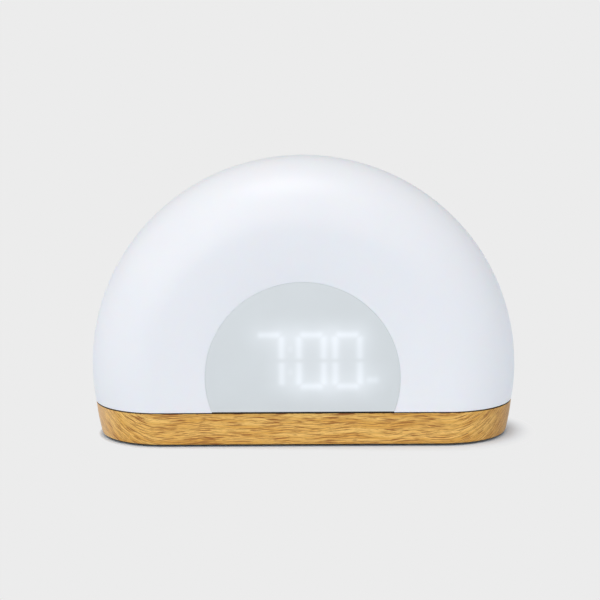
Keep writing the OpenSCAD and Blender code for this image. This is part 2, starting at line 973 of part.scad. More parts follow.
module speaker_frame() {
    rim = speaker_radius - surround_width + 1.2;
    color("#6f7478")
        difference() {
            union() {
                speaker_turned()
                    polygon([[rim, -frame_rear], [speaker_radius, -frame_rear],
                        [speaker_radius, -frame_rear + frame_flange], [rim + 1, -frame_rear + frame_flange],
                        [magnet_radius, -basket_front], [5, -basket_front], [5, -basket_front - 1],
                        [magnet_radius - 1, -basket_front - 1], [rim, -frame_rear + frame_flange]]);
                for (s = [-1, 1])
                    speaker_ear(s);
                box([tab_x - 1.2, frame_rear - frame_flange - 3, tab_z - 1.8],
                    [tab_x + 1.8, frame_rear - frame_flange + eps, tab_z]);
            }
            for (s = [-1, 1])
                bar_along_y([s * ear_x, speaker_rise], pass_radius, 0, half_depth);
        }
}

// One fixing ear of the speaker, joined to its flange
module speaker_ear(s) {
    bar_along_y([s * ear_x, speaker_rise], ear_radius, frame_rear - frame_flange, frame_rear);
    box([s > 0 ? speaker_radius - 1 : -ear_x, frame_rear - frame_flange, speaker_z - ear_radius],
        [s > 0 ? ear_x : -speaker_radius + 1, frame_rear, speaker_z + ear_radius]);
}

module speaker_magnet() {
    color("#5a5d60")
        speaker_turned()
            translate([0, -basket_front])
                square([magnet_radius, magnet_thickness]);
}

module speaker_cone() {
    outer = speaker_radius - surround_width;
    color("#2b2b2b")
        speaker_turned()
            polygon([[0, -frame_rear + 4], [4, -frame_rear + 4.6], [outer, -frame_rear + 0.4],
                [outer, -frame_rear + 0.8], [5, -frame_rear + 6.4], [4.4, -frame_rear + 6.4],
                [3.8, -frame_rear + 5.4], [0, -frame_rear + 4.6]]);
}

module speaker_surround() {
    outer = speaker_radius - surround_width;
    color("#3a3a3c")
        speaker_turned()
            translate([outer, -frame_rear])
                square([1.2, 0.8]);
}

module speaker_gasket() {
    color("#222222")
        difference() {
            speaker_turned()
                translate([speaker_radius - 2, -panel_inside])
                    square([2, gasket_thickness]);
            for (s = [-1, 1])
                bar_along_y([s * ear_x, speaker_rise], ear_radius - 0.2, 0, half_depth);
        }
}

module speaker_screws() {
    color("#8f9296")
        screws_back([[-ear_x, speaker_rise], [ear_x, speaker_rise]], frame_rear - frame_flange,
            frame_flange + gasket_thickness + 0.9);
}

// Two wires from the button board up and back to the speaker's terminals
module speaker_wires() {
    y = button_board_front - 1.5;
    top = tab_z - 0.9;
    color("#b03a30")
        for (x = [tab_x - 0.6, tab_x + 1.2]) {
            translate([x, y, button_z + 2])
                cylinder(r = wire_radius, h = top - button_z - 2);
            translate([x, y, top])
                sphere(wire_radius);
            bar_along_y([x, top - axis_height], wire_radius, y, frame_rear - frame_flange - 3);
        }
}

// ---- Electronics in the base ----

module main_board() {
    color("#2f5d3a")
        difference() {
            box([main_board_left, main_board_front, main_board_bottom],
                [main_board_right, main_board_rear, main_board_top]);
            for (p = main_post_places)
                translate([p[0], p[1], main_board_bottom - 1])
                    cylinder(r = pass_radius, h = board_thickness + 2);
        }
}

module main_board_screws() {
    color("#8f9296")
        for (p = main_post_places)
            translate([p[0], p[1], main_board_top])
                rotate([180, 0, 0])
                    screw(board_thickness + board_post_height + cover_thickness - 0.8);
}

// Chips as [x, y, width, depth, height]
CHIPS = [[16, -8, 10, 10, 1.4], [main_board_left + 18, 4, 5, 4, 1.6], [28, 8, 5, 4, 1.6],
    [main_board_left + 19, -8, 7, 7, 3], [30, -4, 4, 3, 1.2]];

module main_chips() {
    color("#26282b")
        for (c = CHIPS)
            translate([c[0] - c[2] / 2, c[1] - c[3] / 2, main_board_top])
                cube([c[2], c[3], c[4]]);
}

// Capacitors as [x, y, radius, height]
CAPACITORS = [[12, 8, 3.2, 8], [20, 12, 3.2, 8], [-11, 14, 2.5, 6], [main_board_left + 11, -11, 2.5, 6]];

module capacitors() {
    color("#30343a")
        for (c = CAPACITORS)
            translate([c[0], c[1], main_board_top])
                cylinder(r = c[2], h = c[3]);
}

// Plugs for the cables, on the main board, the display board and the button board
module connectors() {
    color("#ece7d6")
        union() {
            box([-8, front_slot_y - plug_half, main_board_top],
                [8, front_slot_y + plug_half, main_board_top + connector_height]);
            box([-7, rear_slot_y - plug_half, main_board_top],
                [7, rear_slot_y + plug_half, main_board_top + connector_height]);
            box([-8, display_board_back, axis_height - 3], [8, display_board_back + connector_height, axis_height + 3]);
            box([-7, button_board_front - 3, button_z - 3.6], [7, button_board_front, button_z + 2.4]);
            box([tab_x - 3, button_board_front - 3, button_z - 2], [tab_x + 3, button_board_front, button_z + 2]);
            box([light_plug_x - 4, -3, main_board_top], [light_plug_x + 4, 3, main_board_top + connector_height]);
        }
}

module power_inlet() {
    color("#202124")
        difference() {
            box([-inlet_width / 2, inlet_face - inlet_depth, main_board_top],
                [inlet_width / 2, inlet_face, main_board_top + inlet_height]);
            bar_along_y([0, inlet_z - axis_height], socket_radius, inlet_face - inlet_depth + 4, inlet_face + 1);
            bar_along_y([0, inlet_z - axis_height], pin_radius + thread_clearance,
                inlet_face - inlet_depth + 1, inlet_face);
            box([-1.1, inlet_face - inlet_depth + 3, inlet_z - socket_radius - 0.5],
                [1.1, inlet_face - 3, inlet_z]);
        }
}

module inlet_pin() {
    color("#c9ccd0")
        bar_along_y([0, inlet_z - axis_height], pin_radius, inlet_face - inlet_depth + 1, inlet_face - 1);
}

module inlet_leaf() {
    color("#c9ccd0")
        box([-1, inlet_face - inlet_depth + 3.1, inlet_z - socket_radius - 0.5],
            [1, inlet_face - 3.1, inlet_z - socket_radius]);
}

// Two wires from the main board out through the deck to the foot of the light strip
module light_wires() {
    z0 = main_board_top + connector_height;
    z1 = z0 + 2;
    z2 = axis_height - strip_drop + 3;
    strip_x = sqrt(pow(strip_outside, 2) - pow(strip_drop - 3, 2)) + wire_radius / 2;
    color("#c9a13a")
        for (y = [-1.5, 1.5]) {
            translate([light_plug_x, y, z0])
                cylinder(r = wire_radius, h = z1 - z0);
            translate([light_plug_x, y, z1])
                sphere(wire_radius);
            translate([light_wire_x, y, z1])
                rotate([0, 90, 0])
                    cylinder(r = wire_radius, h = light_plug_x - light_wire_x);
            translate([light_wire_x, y, z1])
                sphere(wire_radius);
            translate([light_wire_x, y, z1])
                cylinder(r = wire_radius, h = z2 - z1);
            translate([light_wire_x, y, z2])
                sphere(wire_radius);
            translate([light_wire_x, y, z2])
                rotate([0, 90, 0])
                    cylinder(r = wire_radius, h = -strip_x - light_wire_x);
        }
}

// ---- Coin cell ----

module coin_cell() {
    color("#c4c7ca")
        translate([cell_x, 0, cell_bottom])
            cylinder(r = cell_radius, h = cell_thickness);
}

module cell_holder() {
    color("#2b2b2b")
        difference() {
            translate([cell_x, 0, cover_top])
                cylinder(r = holder_radius, h = holder_top - cover_top);
            translate([cell_x, 0, cover_top - 1])
                cylinder(r = cell_radius + holder_clearance, h = cell_top + spring_height - cover_top + 1);
        }
}

module cell_spring() {
    color("#c9ccd0")
        translate([cell_x, 0, cell_top])
            difference() {
                cylinder(r = 5, h = spring_height);
                translate([0, 0, -1])
                    cylinder(r = 3, h = spring_height + 2);
            }
}

// The door lies flush in the cover, and a plug on it keeps the cell up
module battery_door() {
    color("#4a4038")
        difference() {
            translate([cell_x, 0, base_bottom]) {
                linear_extrude(door_thickness)
                    door_outline(0);
                cylinder(r = cell_radius - 0.2, h = cell_bottom - base_bottom);
            }
            translate([ear_screw_x, 0, base_bottom - 1])
                cylinder(r = pass_radius, h = door_thickness + 2);
            translate([ear_screw_x, 0, base_bottom - 1])
                cylinder(r = screw_head_radius + 0.3, h = 1.5);
        }
}

module door_screw() {
    color("#8f9296")
        translate([ear_screw_x, 0, base_bottom + 0.5])
            screw(5);
}

front_shade();
rear_shade();
window();
light_seal();
diffuser_film();
base_shell();
base_deck();
bottom_cover();
feet();
case_screws();
shade_screws();
core_screws();
core_housing();
light_strip();
lights();
digit_block();
lit_bars();
dark_bars();
display_board();
display_screws();
display_ribbon();
rear_panel();
panel_screws();
button_board();
board_screws();
switch_bodies();
button_ribbon();
button(0);  // light_button
switch_stem(0);  // light_switch_stem
button(1);  // alarm_button
switch_stem(1);  // alarm_switch_stem
button(2);  // sound_button
switch_stem(2);  // sound_switch_stem
button(3);  // clock_button
switch_stem(3);  // clock_switch_stem
button(4);  // minus_button
switch_stem(4);  // minus_switch_stem
button(5);  // plus_button
switch_stem(5);  // plus_switch_stem
speaker_frame();
speaker_magnet();
speaker_cone();
speaker_surround();
speaker_gasket();
speaker_screws();
speaker_wires();
main_board();
main_board_screws();
main_chips();
capacitors();
connectors();
power_inlet();
inlet_pin();
inlet_leaf();
light_wires();
coin_cell();
cell_holder();
cell_spring();
battery_door();
door_screw();
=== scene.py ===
# Sunrise alarm clock: a milky half-round lamp with a display window, on an oak-look base.
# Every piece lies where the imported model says, in metres; the clock faces -Y and stands on z = 0.
import math

import bpy
import numpy as np
from mathutils import Matrix, Vector


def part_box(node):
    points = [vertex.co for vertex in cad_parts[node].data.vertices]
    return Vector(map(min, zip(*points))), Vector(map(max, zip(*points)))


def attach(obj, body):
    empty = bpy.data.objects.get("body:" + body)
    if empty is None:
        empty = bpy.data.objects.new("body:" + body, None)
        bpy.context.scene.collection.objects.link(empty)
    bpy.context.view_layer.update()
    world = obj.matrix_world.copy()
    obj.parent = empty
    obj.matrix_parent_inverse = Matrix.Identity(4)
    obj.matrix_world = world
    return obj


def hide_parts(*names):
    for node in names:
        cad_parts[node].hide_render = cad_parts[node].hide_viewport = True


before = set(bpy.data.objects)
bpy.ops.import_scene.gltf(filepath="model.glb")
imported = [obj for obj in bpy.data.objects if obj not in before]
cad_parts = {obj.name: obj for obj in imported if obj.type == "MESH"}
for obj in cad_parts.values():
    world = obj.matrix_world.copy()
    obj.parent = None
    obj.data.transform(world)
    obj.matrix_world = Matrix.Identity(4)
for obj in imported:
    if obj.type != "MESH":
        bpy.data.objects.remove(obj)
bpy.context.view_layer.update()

MM = 0.001

# ----------------------------------------------------------------------
# View and studio
# The camera stands 1.5 m in front of the clock, a third of a metre above the lamp's axis and a
# shade to its right, rolled by half a degree. One soft light hangs overhead, a weaker one is left.
# ----------------------------------------------------------------------
shade_low, shade_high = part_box("front_shade")
BODY_RADIUS = shade_high.x
AXIS_HEIGHT = shade_high.z - BODY_RADIUS
HALF_DEPTH = -shade_low.y
# The distances, the angles in radians and the lens were fitted to the outlines in the photograph
CAMERA_DISTANCE = 1500 * MM
CAMERA_RISE = 349.0 * MM
CAMERA_SIDE = -1.38 * MM
CAMERA_TURN = 0.0142
CAMERA_PITCH = 0.209
CAMERA_ROLL = -0.0081
CAMERA_LENS = 194.6
BACKGROUND = "#ececec"


def to_linear(hex_colour):
    """sRGB hex to linear RGB: the standard curve, straight below 0.04045 and a power above."""
    values = np.array([int(hex_colour[i:i + 2], 16) for i in (1, 3, 5)]) / 255
    return tuple(np.where(values <= 0.04045, values / 12.92, ((values + 0.055) / 1.055) ** 2.4))


def paint(hex_colour):
    """A colour with full alpha, as a node's colour input takes it."""
    return (*to_linear(hex_colour), 1.0)


def add_node(tree, kind, inputs=(), **settings):
    """Adds a shader node and returns its outputs. The inputs, in their order or by name or number,
    are values, hex colours or other nodes' outputs, and the settings are the node's properties."""
    node = tree.nodes.new("ShaderNode" + kind)
    for name, value in settings.items():
        setattr(node, name, value)
    for key, value in inputs.items() if isinstance(inputs, dict) else enumerate(inputs):
        if isinstance(value, bpy.types.NodeSocket):
            tree.links.new(value, node.inputs[key])
        else:
            node.inputs[key].default_value = paint(value) if isinstance(value, str) else value
    return node.outputs


def start_material(name):
    """A new material: returns the material, its empty tree and its Object coordinates."""
    material = bpy.data.materials.new(name)
    material.use_nodes = True
    tree = material.node_tree
    tree.nodes.clear()
    return material, tree, add_node(tree, "TexCoord")["Object"]


bpy.context.scene.view_settings.view_transform = "Standard"
camera_data = bpy.data.cameras.new("camera")
camera_data.lens = CAMERA_LENS
camera_data.clip_end = 20
camera = bpy.data.objects.new("camera", camera_data)
bpy.context.scene.collection.objects.link(camera)
camera.matrix_world = (
    Matrix.Rotation(CAMERA_TURN, 4, "Z")
    @ Matrix.Translation((CAMERA_SIDE, -CAMERA_DISTANCE, AXIS_HEIGHT + CAMERA_RISE))
    @ Matrix.Rotation(math.pi / 2 - CAMERA_PITCH, 4, "X")
    @ Matrix.Rotation(CAMERA_ROLL, 4, "Z"))
bpy.context.scene.camera = camera

# The room is a little brighter towards the camera and the left, and dimmer at the right. The
# camera itself sees the plain background
ROOM_LEVEL = 0.72
ROOM_SLOPE = (-0.12, -0.35, 0.0)
world = bpy.data.worlds.new("studio")
bpy.context.scene.world = world
world.use_nodes = True
room = world.node_tree
room.nodes.clear()
towards = add_node(room, "TexCoord")["Generated"]
slope = add_node(room, "VectorMath", (towards, ROOM_SLOPE), operation="DOT_PRODUCT")["Value"]
room_level = add_node(room, "Math", (slope, ROOM_LEVEL, ROOM_LEVEL), operation="MULTIPLY_ADD")[0]
lit = add_node(room, "Background", {"Color": "#fdfeff", "Strength": room_level})[0]
plain = add_node(room, "Background", {"Color": BACKGROUND, "Strength": 1.0})[0]
seen = add_node(room, "LightPath")["Is Camera Ray"]
sky = add_node(room, "MixShader", (seen, lit, plain))[0]
add_node(room, "OutputWorld", {"Surface": sky})


def hang_light(name, towards, energy, spread, colour="#ffffff"):
    """A distant soft light from a direction, seen from the clock as a disc of some degrees."""
    data = bpy.data.lights.new(name, "SUN")
    data.energy = energy
    data.color = to_linear(colour)
    data.angle = math.radians(spread)
    light = bpy.data.objects.new(name, data)
    light.rotation_euler = Vector(towards).to_track_quat("Z", "Y").to_euler()
    bpy.context.scene.collection.objects.link(light)


hang_light("overhead_light", (-0.12, -0.26, 1.0), energy=0.6, spread=34)
hang_light("left_light", (-0.5, -1.0, 0.4), energy=0.25, spread=50, colour="#fff6ea")


def far_from_line(tree, place, middle, half):
    """Distance to a line about a middle: the length of max(|place - middle| - half, 0), where half
    is half of the line along the axis that it follows."""
    beyond = add_node(tree, "VectorMath", (place, middle), operation="SUBTRACT")[0]
    beyond = add_node(tree, "VectorMath", (beyond,), operation="ABSOLUTE")[0]
    beyond = add_node(tree, "VectorMath", (beyond, half), operation="SUBTRACT")[0]
    beyond = add_node(tree, "VectorMath", (beyond, (0, 0, 0)), operation="MAXIMUM")[0]
    return add_node(tree, "VectorMath", (beyond,), operation="LENGTH")["Value"]


# The floor is a pale paper sheet that keeps the clock's shadow close to it and is plain farther
# out, by the distance from the middle line of the base's foot. The shadow is narrow at the left
# and wide at the right
FLOOR_REACH = 8.0
SHADOW_START = 0.9 * MM
SHADOW_LEFT = 2.3 * MM
SHADOW_RIGHT = 14 * MM
FOOT_LENGTH = 95.8 * MM
FOOT_DEPTH = 29 * MM
floor_mesh = bpy.data.meshes.new("floor")
corners = [(x * FLOOR_REACH, y * FLOOR_REACH, 0) for x, y in ((-1, -1), (1, -1), (1, 1), (-1, 1))]
floor_mesh.from_pydata(corners, [], [(0, 1, 2, 3)])
floor = bpy.data.objects.new("floor", floor_mesh)
bpy.context.scene.collection.objects.link(floor)
paper, tree, place = start_material("seamless_paper")
away = far_from_line(tree, place, (0, 0, 0), (FOOT_LENGTH - FOOT_DEPTH, 0, 0))
across = add_node(tree, "SeparateXYZ", (place,))["X"]
reach = add_node(tree, "MapRange", {
    "Value": across, "From Min": -FOOT_LENGTH, "From Max": FOOT_LENGTH,
    "To Min": FOOT_DEPTH + SHADOW_LEFT, "To Max": FOOT_DEPTH + SHADOW_RIGHT})[0]
fade = add_node(tree, "MapRange", {
    "Value": away, "From Min": FOOT_DEPTH + SHADOW_START, "From Max": reach},
    interpolation_type="SMOOTHSTEP")[0]
seen = add_node(tree, "LightPath")["Is Camera Ray"]
share = add_node(tree, "Math", (fade, seen), operation="MULTIPLY")[0]
lit = add_node(tree, "BsdfDiffuse", {"Color": "#ebf1f8"})[0]
plain = add_node(tree, "Emission", {"Color": BACKGROUND, "Strength": 1.0})[0]
mix = add_node(tree, "MixShader", (share, lit, plain))[0]
add_node(tree, "OutputMaterial", {"Surface": mix})
floor_mesh.materials.append(paper)

# ----------------------------------------------------------------------
# Front shade
# Half of the lamp's skin: opal polycarbonate, injection moulded 2.2 mm thick with a satin face.
# It is screwed down to the deck from below and holds the window in its round opening.
# ----------------------------------------------------------------------
window_low, window_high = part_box("window")
FLAT_RADIUS = BODY_RADIUS - HALF_DEPTH
SEAM_HEIGHT = shade_low.z
WINDOW_RADIUS = window_high.z - AXIS_HEIGHT
SHADE_WALL = 2.2 * MM
PLATE_CLEARANCE = 0.2 * MM
SEAT_WIDTH = 2.0 * MM
SEAT_THICKNESS = 1.4 * MM
SEAT_RING = 1.6 * MM
PARTING_GAP = 0.05 * MM
PARTING_EDGE = 0.125 * MM
LAP_LENGTH = 1.9 * MM
LAP_WALL = 1.0 * MM
LAP_PLAY = 0.1 * MM
# The inside ends at the lap, this many degrees from the parting plane
LAP_ANGLE = 5
MOULD_EDGE = 0.25 * MM
OPENING_EDGE = 0.06 * MM
MOULD_STEPS = 6
TURN_STEPS = 180


def arc(centre, radius, start, end, steps):
    """Points of a circle's stretch: centre + radius * (cos a, sin a), a from start to end in
    degrees."""
    angle = np.radians(np.linspace(start, end, steps))
    return np.stack([np.cos(angle), np.sin(angle)], axis=1) * radius + centre


def join_points(*stretches):
    """One line out of arcs and lists of corners, in their order."""
    return np.concatenate([np.asarray(stretch, float).reshape(-1, 2) for stretch in stretches])


def shade_section(plate_inside, tongue):
    """A shade's closed section as (distance from the axis, distance towards its face), and how many
    of its points are on the outside: a quarter circle for the rim, the flat face and the opening's
    broken edge, then the plate's seat and the same way back at one wall's distance to the lap at
    the parting line."""
    inner = HALF_DEPTH - SHADE_WALL
    opening = WINDOW_RADIUS + PLATE_CLEARANCE
    seat_back = plate_inside - SEAT_THICKNESS
    rim_start = math.degrees(PARTING_EDGE / HALF_DEPTH)
    outside = join_points(
        [(BODY_RADIUS - PARTING_GAP, PARTING_GAP)],
        arc((FLAT_RADIUS, 0), HALF_DEPTH, rim_start, 90, steps=44),
        arc((opening + OPENING_EDGE, HALF_DEPTH - OPENING_EDGE), OPENING_EDGE, 90, 180, steps=5))
    skin = FLAT_RADIUS + inner + LAP_WALL
    if tongue:
        lap = [(FLAT_RADIUS + inner + LAP_PLAY, -LAP_LENGTH), (skin, -LAP_LENGTH),
               (skin, PARTING_GAP)]
    else:
        lap = [(skin + LAP_PLAY, LAP_LENGTH + LAP_PLAY), (skin + LAP_PLAY, PARTING_GAP)]
    inside = join_points(
        [(opening, plate_inside), (opening - SEAT_WIDTH, plate_inside),
         (opening - SEAT_WIDTH, seat_back), (opening + SEAT_RING, seat_back),
         (opening + SEAT_RING, inner)],
        arc((FLAT_RADIUS, 0), inner, 90, LAP_ANGLE, steps=30), lap)
    return np.concatenate([outside, inside]), len(outside)


def put_mesh(name, points, faces, *materials, second=None, crease=35):
    """Makes an object of an array of points and a list of faces, smooth where its faces meet
    flatter than the crease. The faces marked in second take the second material."""
    mesh = bpy.data.meshes.new(name)
    mesh.from_pydata(np.asarray(points, float).reshape(-1, 3).tolist(), [], faces)
    mesh.polygons.foreach_set("use_smooth", [True] * len(mesh.polygons))
    mesh.set_sharp_from_angle(angle=math.radians(crease))
    for material in materials:
        mesh.materials.append(material)
    if second is not None:
        mesh.polygons.foreach_set("material_index", second.astype(np.int32))
    piece = bpy.data.objects.new(name, mesh)
    bpy.context.scene.collection.objects.link(piece)
    return piece


def settle(piece, body, slot, *nodes):
    """A finished piece rides on a body and stands for the nodes. The slot is not used."""
    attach(piece, body)
    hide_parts(*nodes)


def grid_faces(rows, columns, close_rows=False, close_columns=False, flip=False):
    """Quads between neighbouring points of a grid that is stored row by row."""
    i, j = np.meshgrid(np.arange(rows if close_rows else rows - 1),
                       np.arange(columns if close_columns else columns - 1), indexing="ij")
    below, beside = (i + 1) % rows, (j + 1) % columns
    quads = np.stack([i * columns + j, i * columns + beside,
                      below * columns + beside, below * columns + j], axis=-1).reshape(-1, 4)
    return (quads[:, ::-1] if flip else quads).tolist()


def turn_shade(section, outside, side):
    """Turns a shade's section about the lamp's axis, from the plane of the seam on one side to the
    other: each ring of radius r starts at the angle asin(-drop / r). The outside is drawn in by a
    quarter circle as it nears the plane, x = edge - sqrt(edge^2 - (edge - lift)^2), along the
    section's own normal."""
    drop = AXIS_HEIGHT - SEAM_HEIGHT
    radius, depth = section[:, :1], section[:, 1:]
    lift = MOULD_EDGE * (1 - np.cos(np.radians(np.linspace(0, 90, MOULD_STEPS))))[None, :]
    low = np.arcsin((lift - drop) / radius)
    share = np.linspace(0, 1, TURN_STEPS + 2)[None, 1:-1]
    middle = low[:, -1:] + (math.pi - 2 * low[:, -1:]) * share
    angle = np.concatenate([low, middle, math.pi - low[:, ::-1]], axis=1)
    draw_in = MOULD_EDGE - np.sqrt(np.maximum(MOULD_EDGE ** 2 - (MOULD_EDGE - lift) ** 2, 0))
    draw_in = np.concatenate([draw_in, 0 * share, draw_in[:, ::-1]], axis=1)
    along = np.roll(section, -1, axis=0) - np.roll(section, 1, axis=0)
    normal = np.stack([along[:, 1], -along[:, 0]], axis=1) / np.linalg.norm(along, axis=1)[:, None]
    normal[outside:] = 0
    ring = radius - normal[:, :1] * draw_in
    face = depth - normal[:, 1:] * draw_in
    height = AXIS_HEIGHT + radius * np.sin(angle)
    points = np.stack([ring * np.cos(angle), side * face, height], axis=-1)
    rows, columns = angle.shape
    faces = grid_faces(rows, columns, close_rows=True, flip=side > 0)
    start = (np.arange(rows) * columns).tolist()
    end = (np.arange(rows) * columns + columns - 1).tolist()
    faces += [end, start[::-1]] if side > 0 else [end[::-1], start]
    return points, faces


# Opal polycarbonate from a fine-blasted mould: milky white with a cool cast, a broad soft
# highlight, and light that spreads a little way inside it, so that its edges never look hard
OPAL_SPREAD = 2 * MM
# Blasting marks are 0.08 mm across; they are drawn at 0.35 mm so that they show at all
BLASTING = 0.35 * MM
CLOUDS = 60 * MM
opal, tree, place = start_material("opal_polycarbonate")
cloud = add_node(tree, "TexNoise", {"Vector": place, "Scale": 1 / CLOUDS, "Detail": 1.0})[0]
blasting = add_node(tree, "TexNoise", {"Vector": place, "Scale": 1 / BLASTING, "Detail": 2.0})[0]
tint = add_node(tree, "Mix", {0: cloud, 6: "#ebecf1", 7: "#f0f1f5"}, data_type="RGBA")[2]
relief = add_node(tree, "Bump", {"Height": blasting, "Strength": 0.06, "Distance": 0.02 * MM})[0]
skin = add_node(tree, "BsdfPrincipled", {
    "Base Color": tint, "Roughness": 0.36, "IOR": 1.58, "Normal": relief,
    "Subsurface Weight": 0.15, "Subsurface Scale": OPAL_SPREAD})[0]
add_node(tree, "OutputMaterial", {"Surface": skin})

section, outside = shade_section(-window_high.y, tongue=False)
points, faces = turn_shade(section, outside, -1)
settle(put_mesh("front_shade_skin", points, faces, opal), "clock", "opal_plastic", "front_shade")

# ----------------------------------------------------------------------
# Rear shade
# The other half of the skin, of the same opal moulding. A thin tongue round its rim enters the
# front shade, so that no light leaks at the parting line.
# ----------------------------------------------------------------------
PANEL_THICKNESS = 2.0 * MM
PANEL_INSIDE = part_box("rear_panel")[1].y - PANEL_THICKNESS
section, outside = shade_section(PANEL_INSIDE, tongue=True)
points, faces = turn_shade(section, outside, 1)
settle(put_mesh("rear_shade_skin", points, faces, opal), "clock", "opal_plastic", "rear_shade")

# ----------------------------------------------------------------------
# Display window
# A disc of smoke-tinted translucent acrylic, 2 mm thick, cut straight at the seam and glued into
# the front shade. Its front face carries a painted glow of the lit bars: soft lines with a haze.
# ----------------------------------------------------------------------
WINDOW_EDGE = 0.05 * MM
# The straight edge stands this far clear of the seam, which makes the dark line under the window
WINDOW_LIFT = 0.3 * MM
GLUE_LINE = 0.05 * MM
WINDOW_DROP = AXIS_HEIGHT - window_low.z
WINDOW_ARC_POINTS = 161
WINDOW_SIDE_POINTS = 24


def arch_outline(inset):
    """The window's outline set in all along: an arc of radius - inset over a straight edge at
    drop - lift - inset."""
    radius = WINDOW_RADIUS + PLATE_CLEARANCE - GLUE_LINE - inset
    low = WINDOW_DROP - WINDOW_LIFT - inset
    start = -math.asin(low / radius)
    angle = np.linspace(start, math.pi - start, WINDOW_ARC_POINTS)
    bend = np.stack([radius * np.cos(angle), radius * np.sin(angle)], axis=1)
    across = np.linspace(bend[-1, 0], bend[0, 0], WINDOW_SIDE_POINTS + 2)[1:-1]
    return np.concatenate([bend, np.stack([across, np.full(WINDOW_SIDE_POINTS, -low)], axis=1)])


def window_plate(back, front):
    """The plate as rings of (inset, depth): the back, then a quarter circle round the front edge,
    each end closed by one flat face."""
    rings = join_points([(0.0, back)],
                        arc((WINDOW_EDGE, front + WINDOW_EDGE), WINDOW_EDGE, 180, 270, steps=5))
    outlines = [arch_outline(inset) for inset in rings[:, 0]]
    rows = [np.stack([line[:, 0], np.full(len(line), depth), AXIS_HEIGHT + line[:, 1]], axis=1)
            for line, depth in zip(outlines, rings[:, 1])]
    count = len(rows[0])
    faces = grid_faces(len(rows), count, close_columns=True)
    faces += [list(range(count))[::-1], [(len(rows) - 1) * count + i for i in range(count)]]
    return np.concatenate(rows), faces


def bell_curve(tree, distance, reach):
    """exp(-(d / reach)^2), the brightness of a blurred line at the distance d from it."""
    square = add_node(tree, "Math", (distance, distance), operation="MULTIPLY")[0]
    power = add_node(tree, "Math", (square, -1 / reach ** 2), operation="MULTIPLY")[0]
    return add_node(tree, "Math", (power,), operation="EXPONENT")[0]


# The digits of the painted glow on the window, placed as the bars behind it
DIGIT_HEIGHT = 27.0 * MM
DIGIT_WIDTH = 13.8 * MM
BAR_WIDTH = 2.4 * MM
LEVEL_END = 1.9 * MM
UPRIGHT_END = 2.1 * MM
DIGIT_PITCH = 16.9 * MM
COLON_ROOM = 2.7 * MM
COLON_STRENGTH = 0.3
MARK_WIDTH = 5.0 * MM
MARK_DROP = 9.4 * MM
MARK_GAP = 11.5 * MM
MARK_STRENGTH = 0.7
lit_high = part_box("lit_bars")[1]
DIGIT_MIDDLE = lit_high.z - DIGIT_HEIGHT / 2
MARK_PLACE = lit_high.x - MARK_WIDTH / 2
LAST_DIGIT = MARK_PLACE - MARK_GAP
HALF_ACROSS = (DIGIT_WIDTH - BAR_WIDTH) / 2
HALF_UP = (DIGIT_HEIGHT - BAR_WIDTH) / 2
# Half of each kind of bar's middle line, which stops short of the digit's corners
LEVEL_BAR = (HALF_ACROSS - LEVEL_END, 0, 0)
UPRIGHT_BAR = (0, 0, HALF_UP / 2 - UPRIGHT_END)
MARK_BAR = ((MARK_WIDTH - BAR_WIDTH) / 2, 0, 0)
BAR_BLUR = 1.7 * MM
HAZE_REACH = 6.5 * MM
BAR_GLOW = 0.12
HAZE_GLOW = 0.06

# Smoked acrylic over a white light box: a cool grey satin sheet, with a painted glow of the lit bars
smoke, tree, place = start_material("smoked_acrylic")
from_middle = add_node(tree, "VectorMath", (place, (1, 0, 1), (0, 0, -DIGIT_MIDDLE)),
                       operation="MULTIPLY_ADD")[0]
folded = add_node(tree, "VectorMath", (from_middle,), operation="ABSOLUTE")[0]
across = add_node(tree, "SeparateXYZ", (place,))["X"]
height = add_node(tree, "SeparateXYZ", (folded,))["Z"]
folded = add_node(tree, "CombineXYZ", {"X": across, "Z": height})[0]
seven_place = LAST_DIGIT - 2 * DIGIT_PITCH - COLON_ROOM
colon_place = LAST_DIGIT - 1.5 * DIGIT_PITCH - COLON_ROOM / 2
# Each bar as the place it is seen from, its middle, half its line and its strength. From the
# folded place, one bar stands for itself and the one below the digit's middle
bars = [(from_middle, (seven_place, 0, HALF_UP), LEVEL_BAR, 1.0),
        (folded, (seven_place + HALF_ACROSS, 0, HALF_UP / 2), UPRIGHT_BAR, 1.0),
        (from_middle, (MARK_PLACE, 0, -MARK_DROP), MARK_BAR, MARK_STRENGTH),
        (folded, (colon_place, 0, DIGIT_HEIGHT / 5), (0, 0, 0), COLON_STRENGTH)]
for digit in (0, 1):
    # A nought is the same left and right too, so three bars stand for its six: the nearer level
    # one and both upright ones, since the haze of both fills its middle
    nought = add_node(tree, "VectorMath", (from_middle, (LAST_DIGIT - digit * DIGIT_PITCH, 0, 0)),
                      operation="SUBTRACT")[0]
    nought = add_node(tree, "VectorMath", (nought,), operation="ABSOLUTE")[0]
    bars += [(nought, (0, 0, HALF_UP), LEVEL_BAR, 1.0),
             (nought, (HALF_ACROSS, 0, HALF_UP / 2), UPRIGHT_BAR, 1.0),
             (nought, (-HALF_ACROSS, 0, HALF_UP / 2), UPRIGHT_BAR, 1.0)]
glow, haze = 0.0, 0.0
for seen_from, middle, half, strength in bars:
    distance = far_from_line(tree, seen_from, middle, half)
    line = add_node(tree, "Math", (bell_curve(tree, distance, BAR_BLUR), strength),
                    operation="MULTIPLY")[0]
    glow = add_node(tree, "Math", (glow, line), operation="MAXIMUM")[0]
    haze = add_node(tree, "Math", (bell_curve(tree, distance, HAZE_REACH), strength, haze),
                    operation="MULTIPLY_ADD")[0]
# The painted glow: blurred lines and a wider haze, emitted by the window's front face alone
shine = add_node(tree, "Math", (haze, HAZE_GLOW), operation="MULTIPLY")[0]
shine = add_node(tree, "Math", (glow, BAR_GLOW, shine), operation="MULTIPLY_ADD")[0]
inwards = add_node(tree, "SeparateXYZ", (place,))["Y"]
front_face = add_node(tree, "Math", (inwards, window_low.y + WINDOW_EDGE), operation="LESS_THAN")[0]
shine = add_node(tree, "Math", (shine, front_face), operation="MULTIPLY")[0]
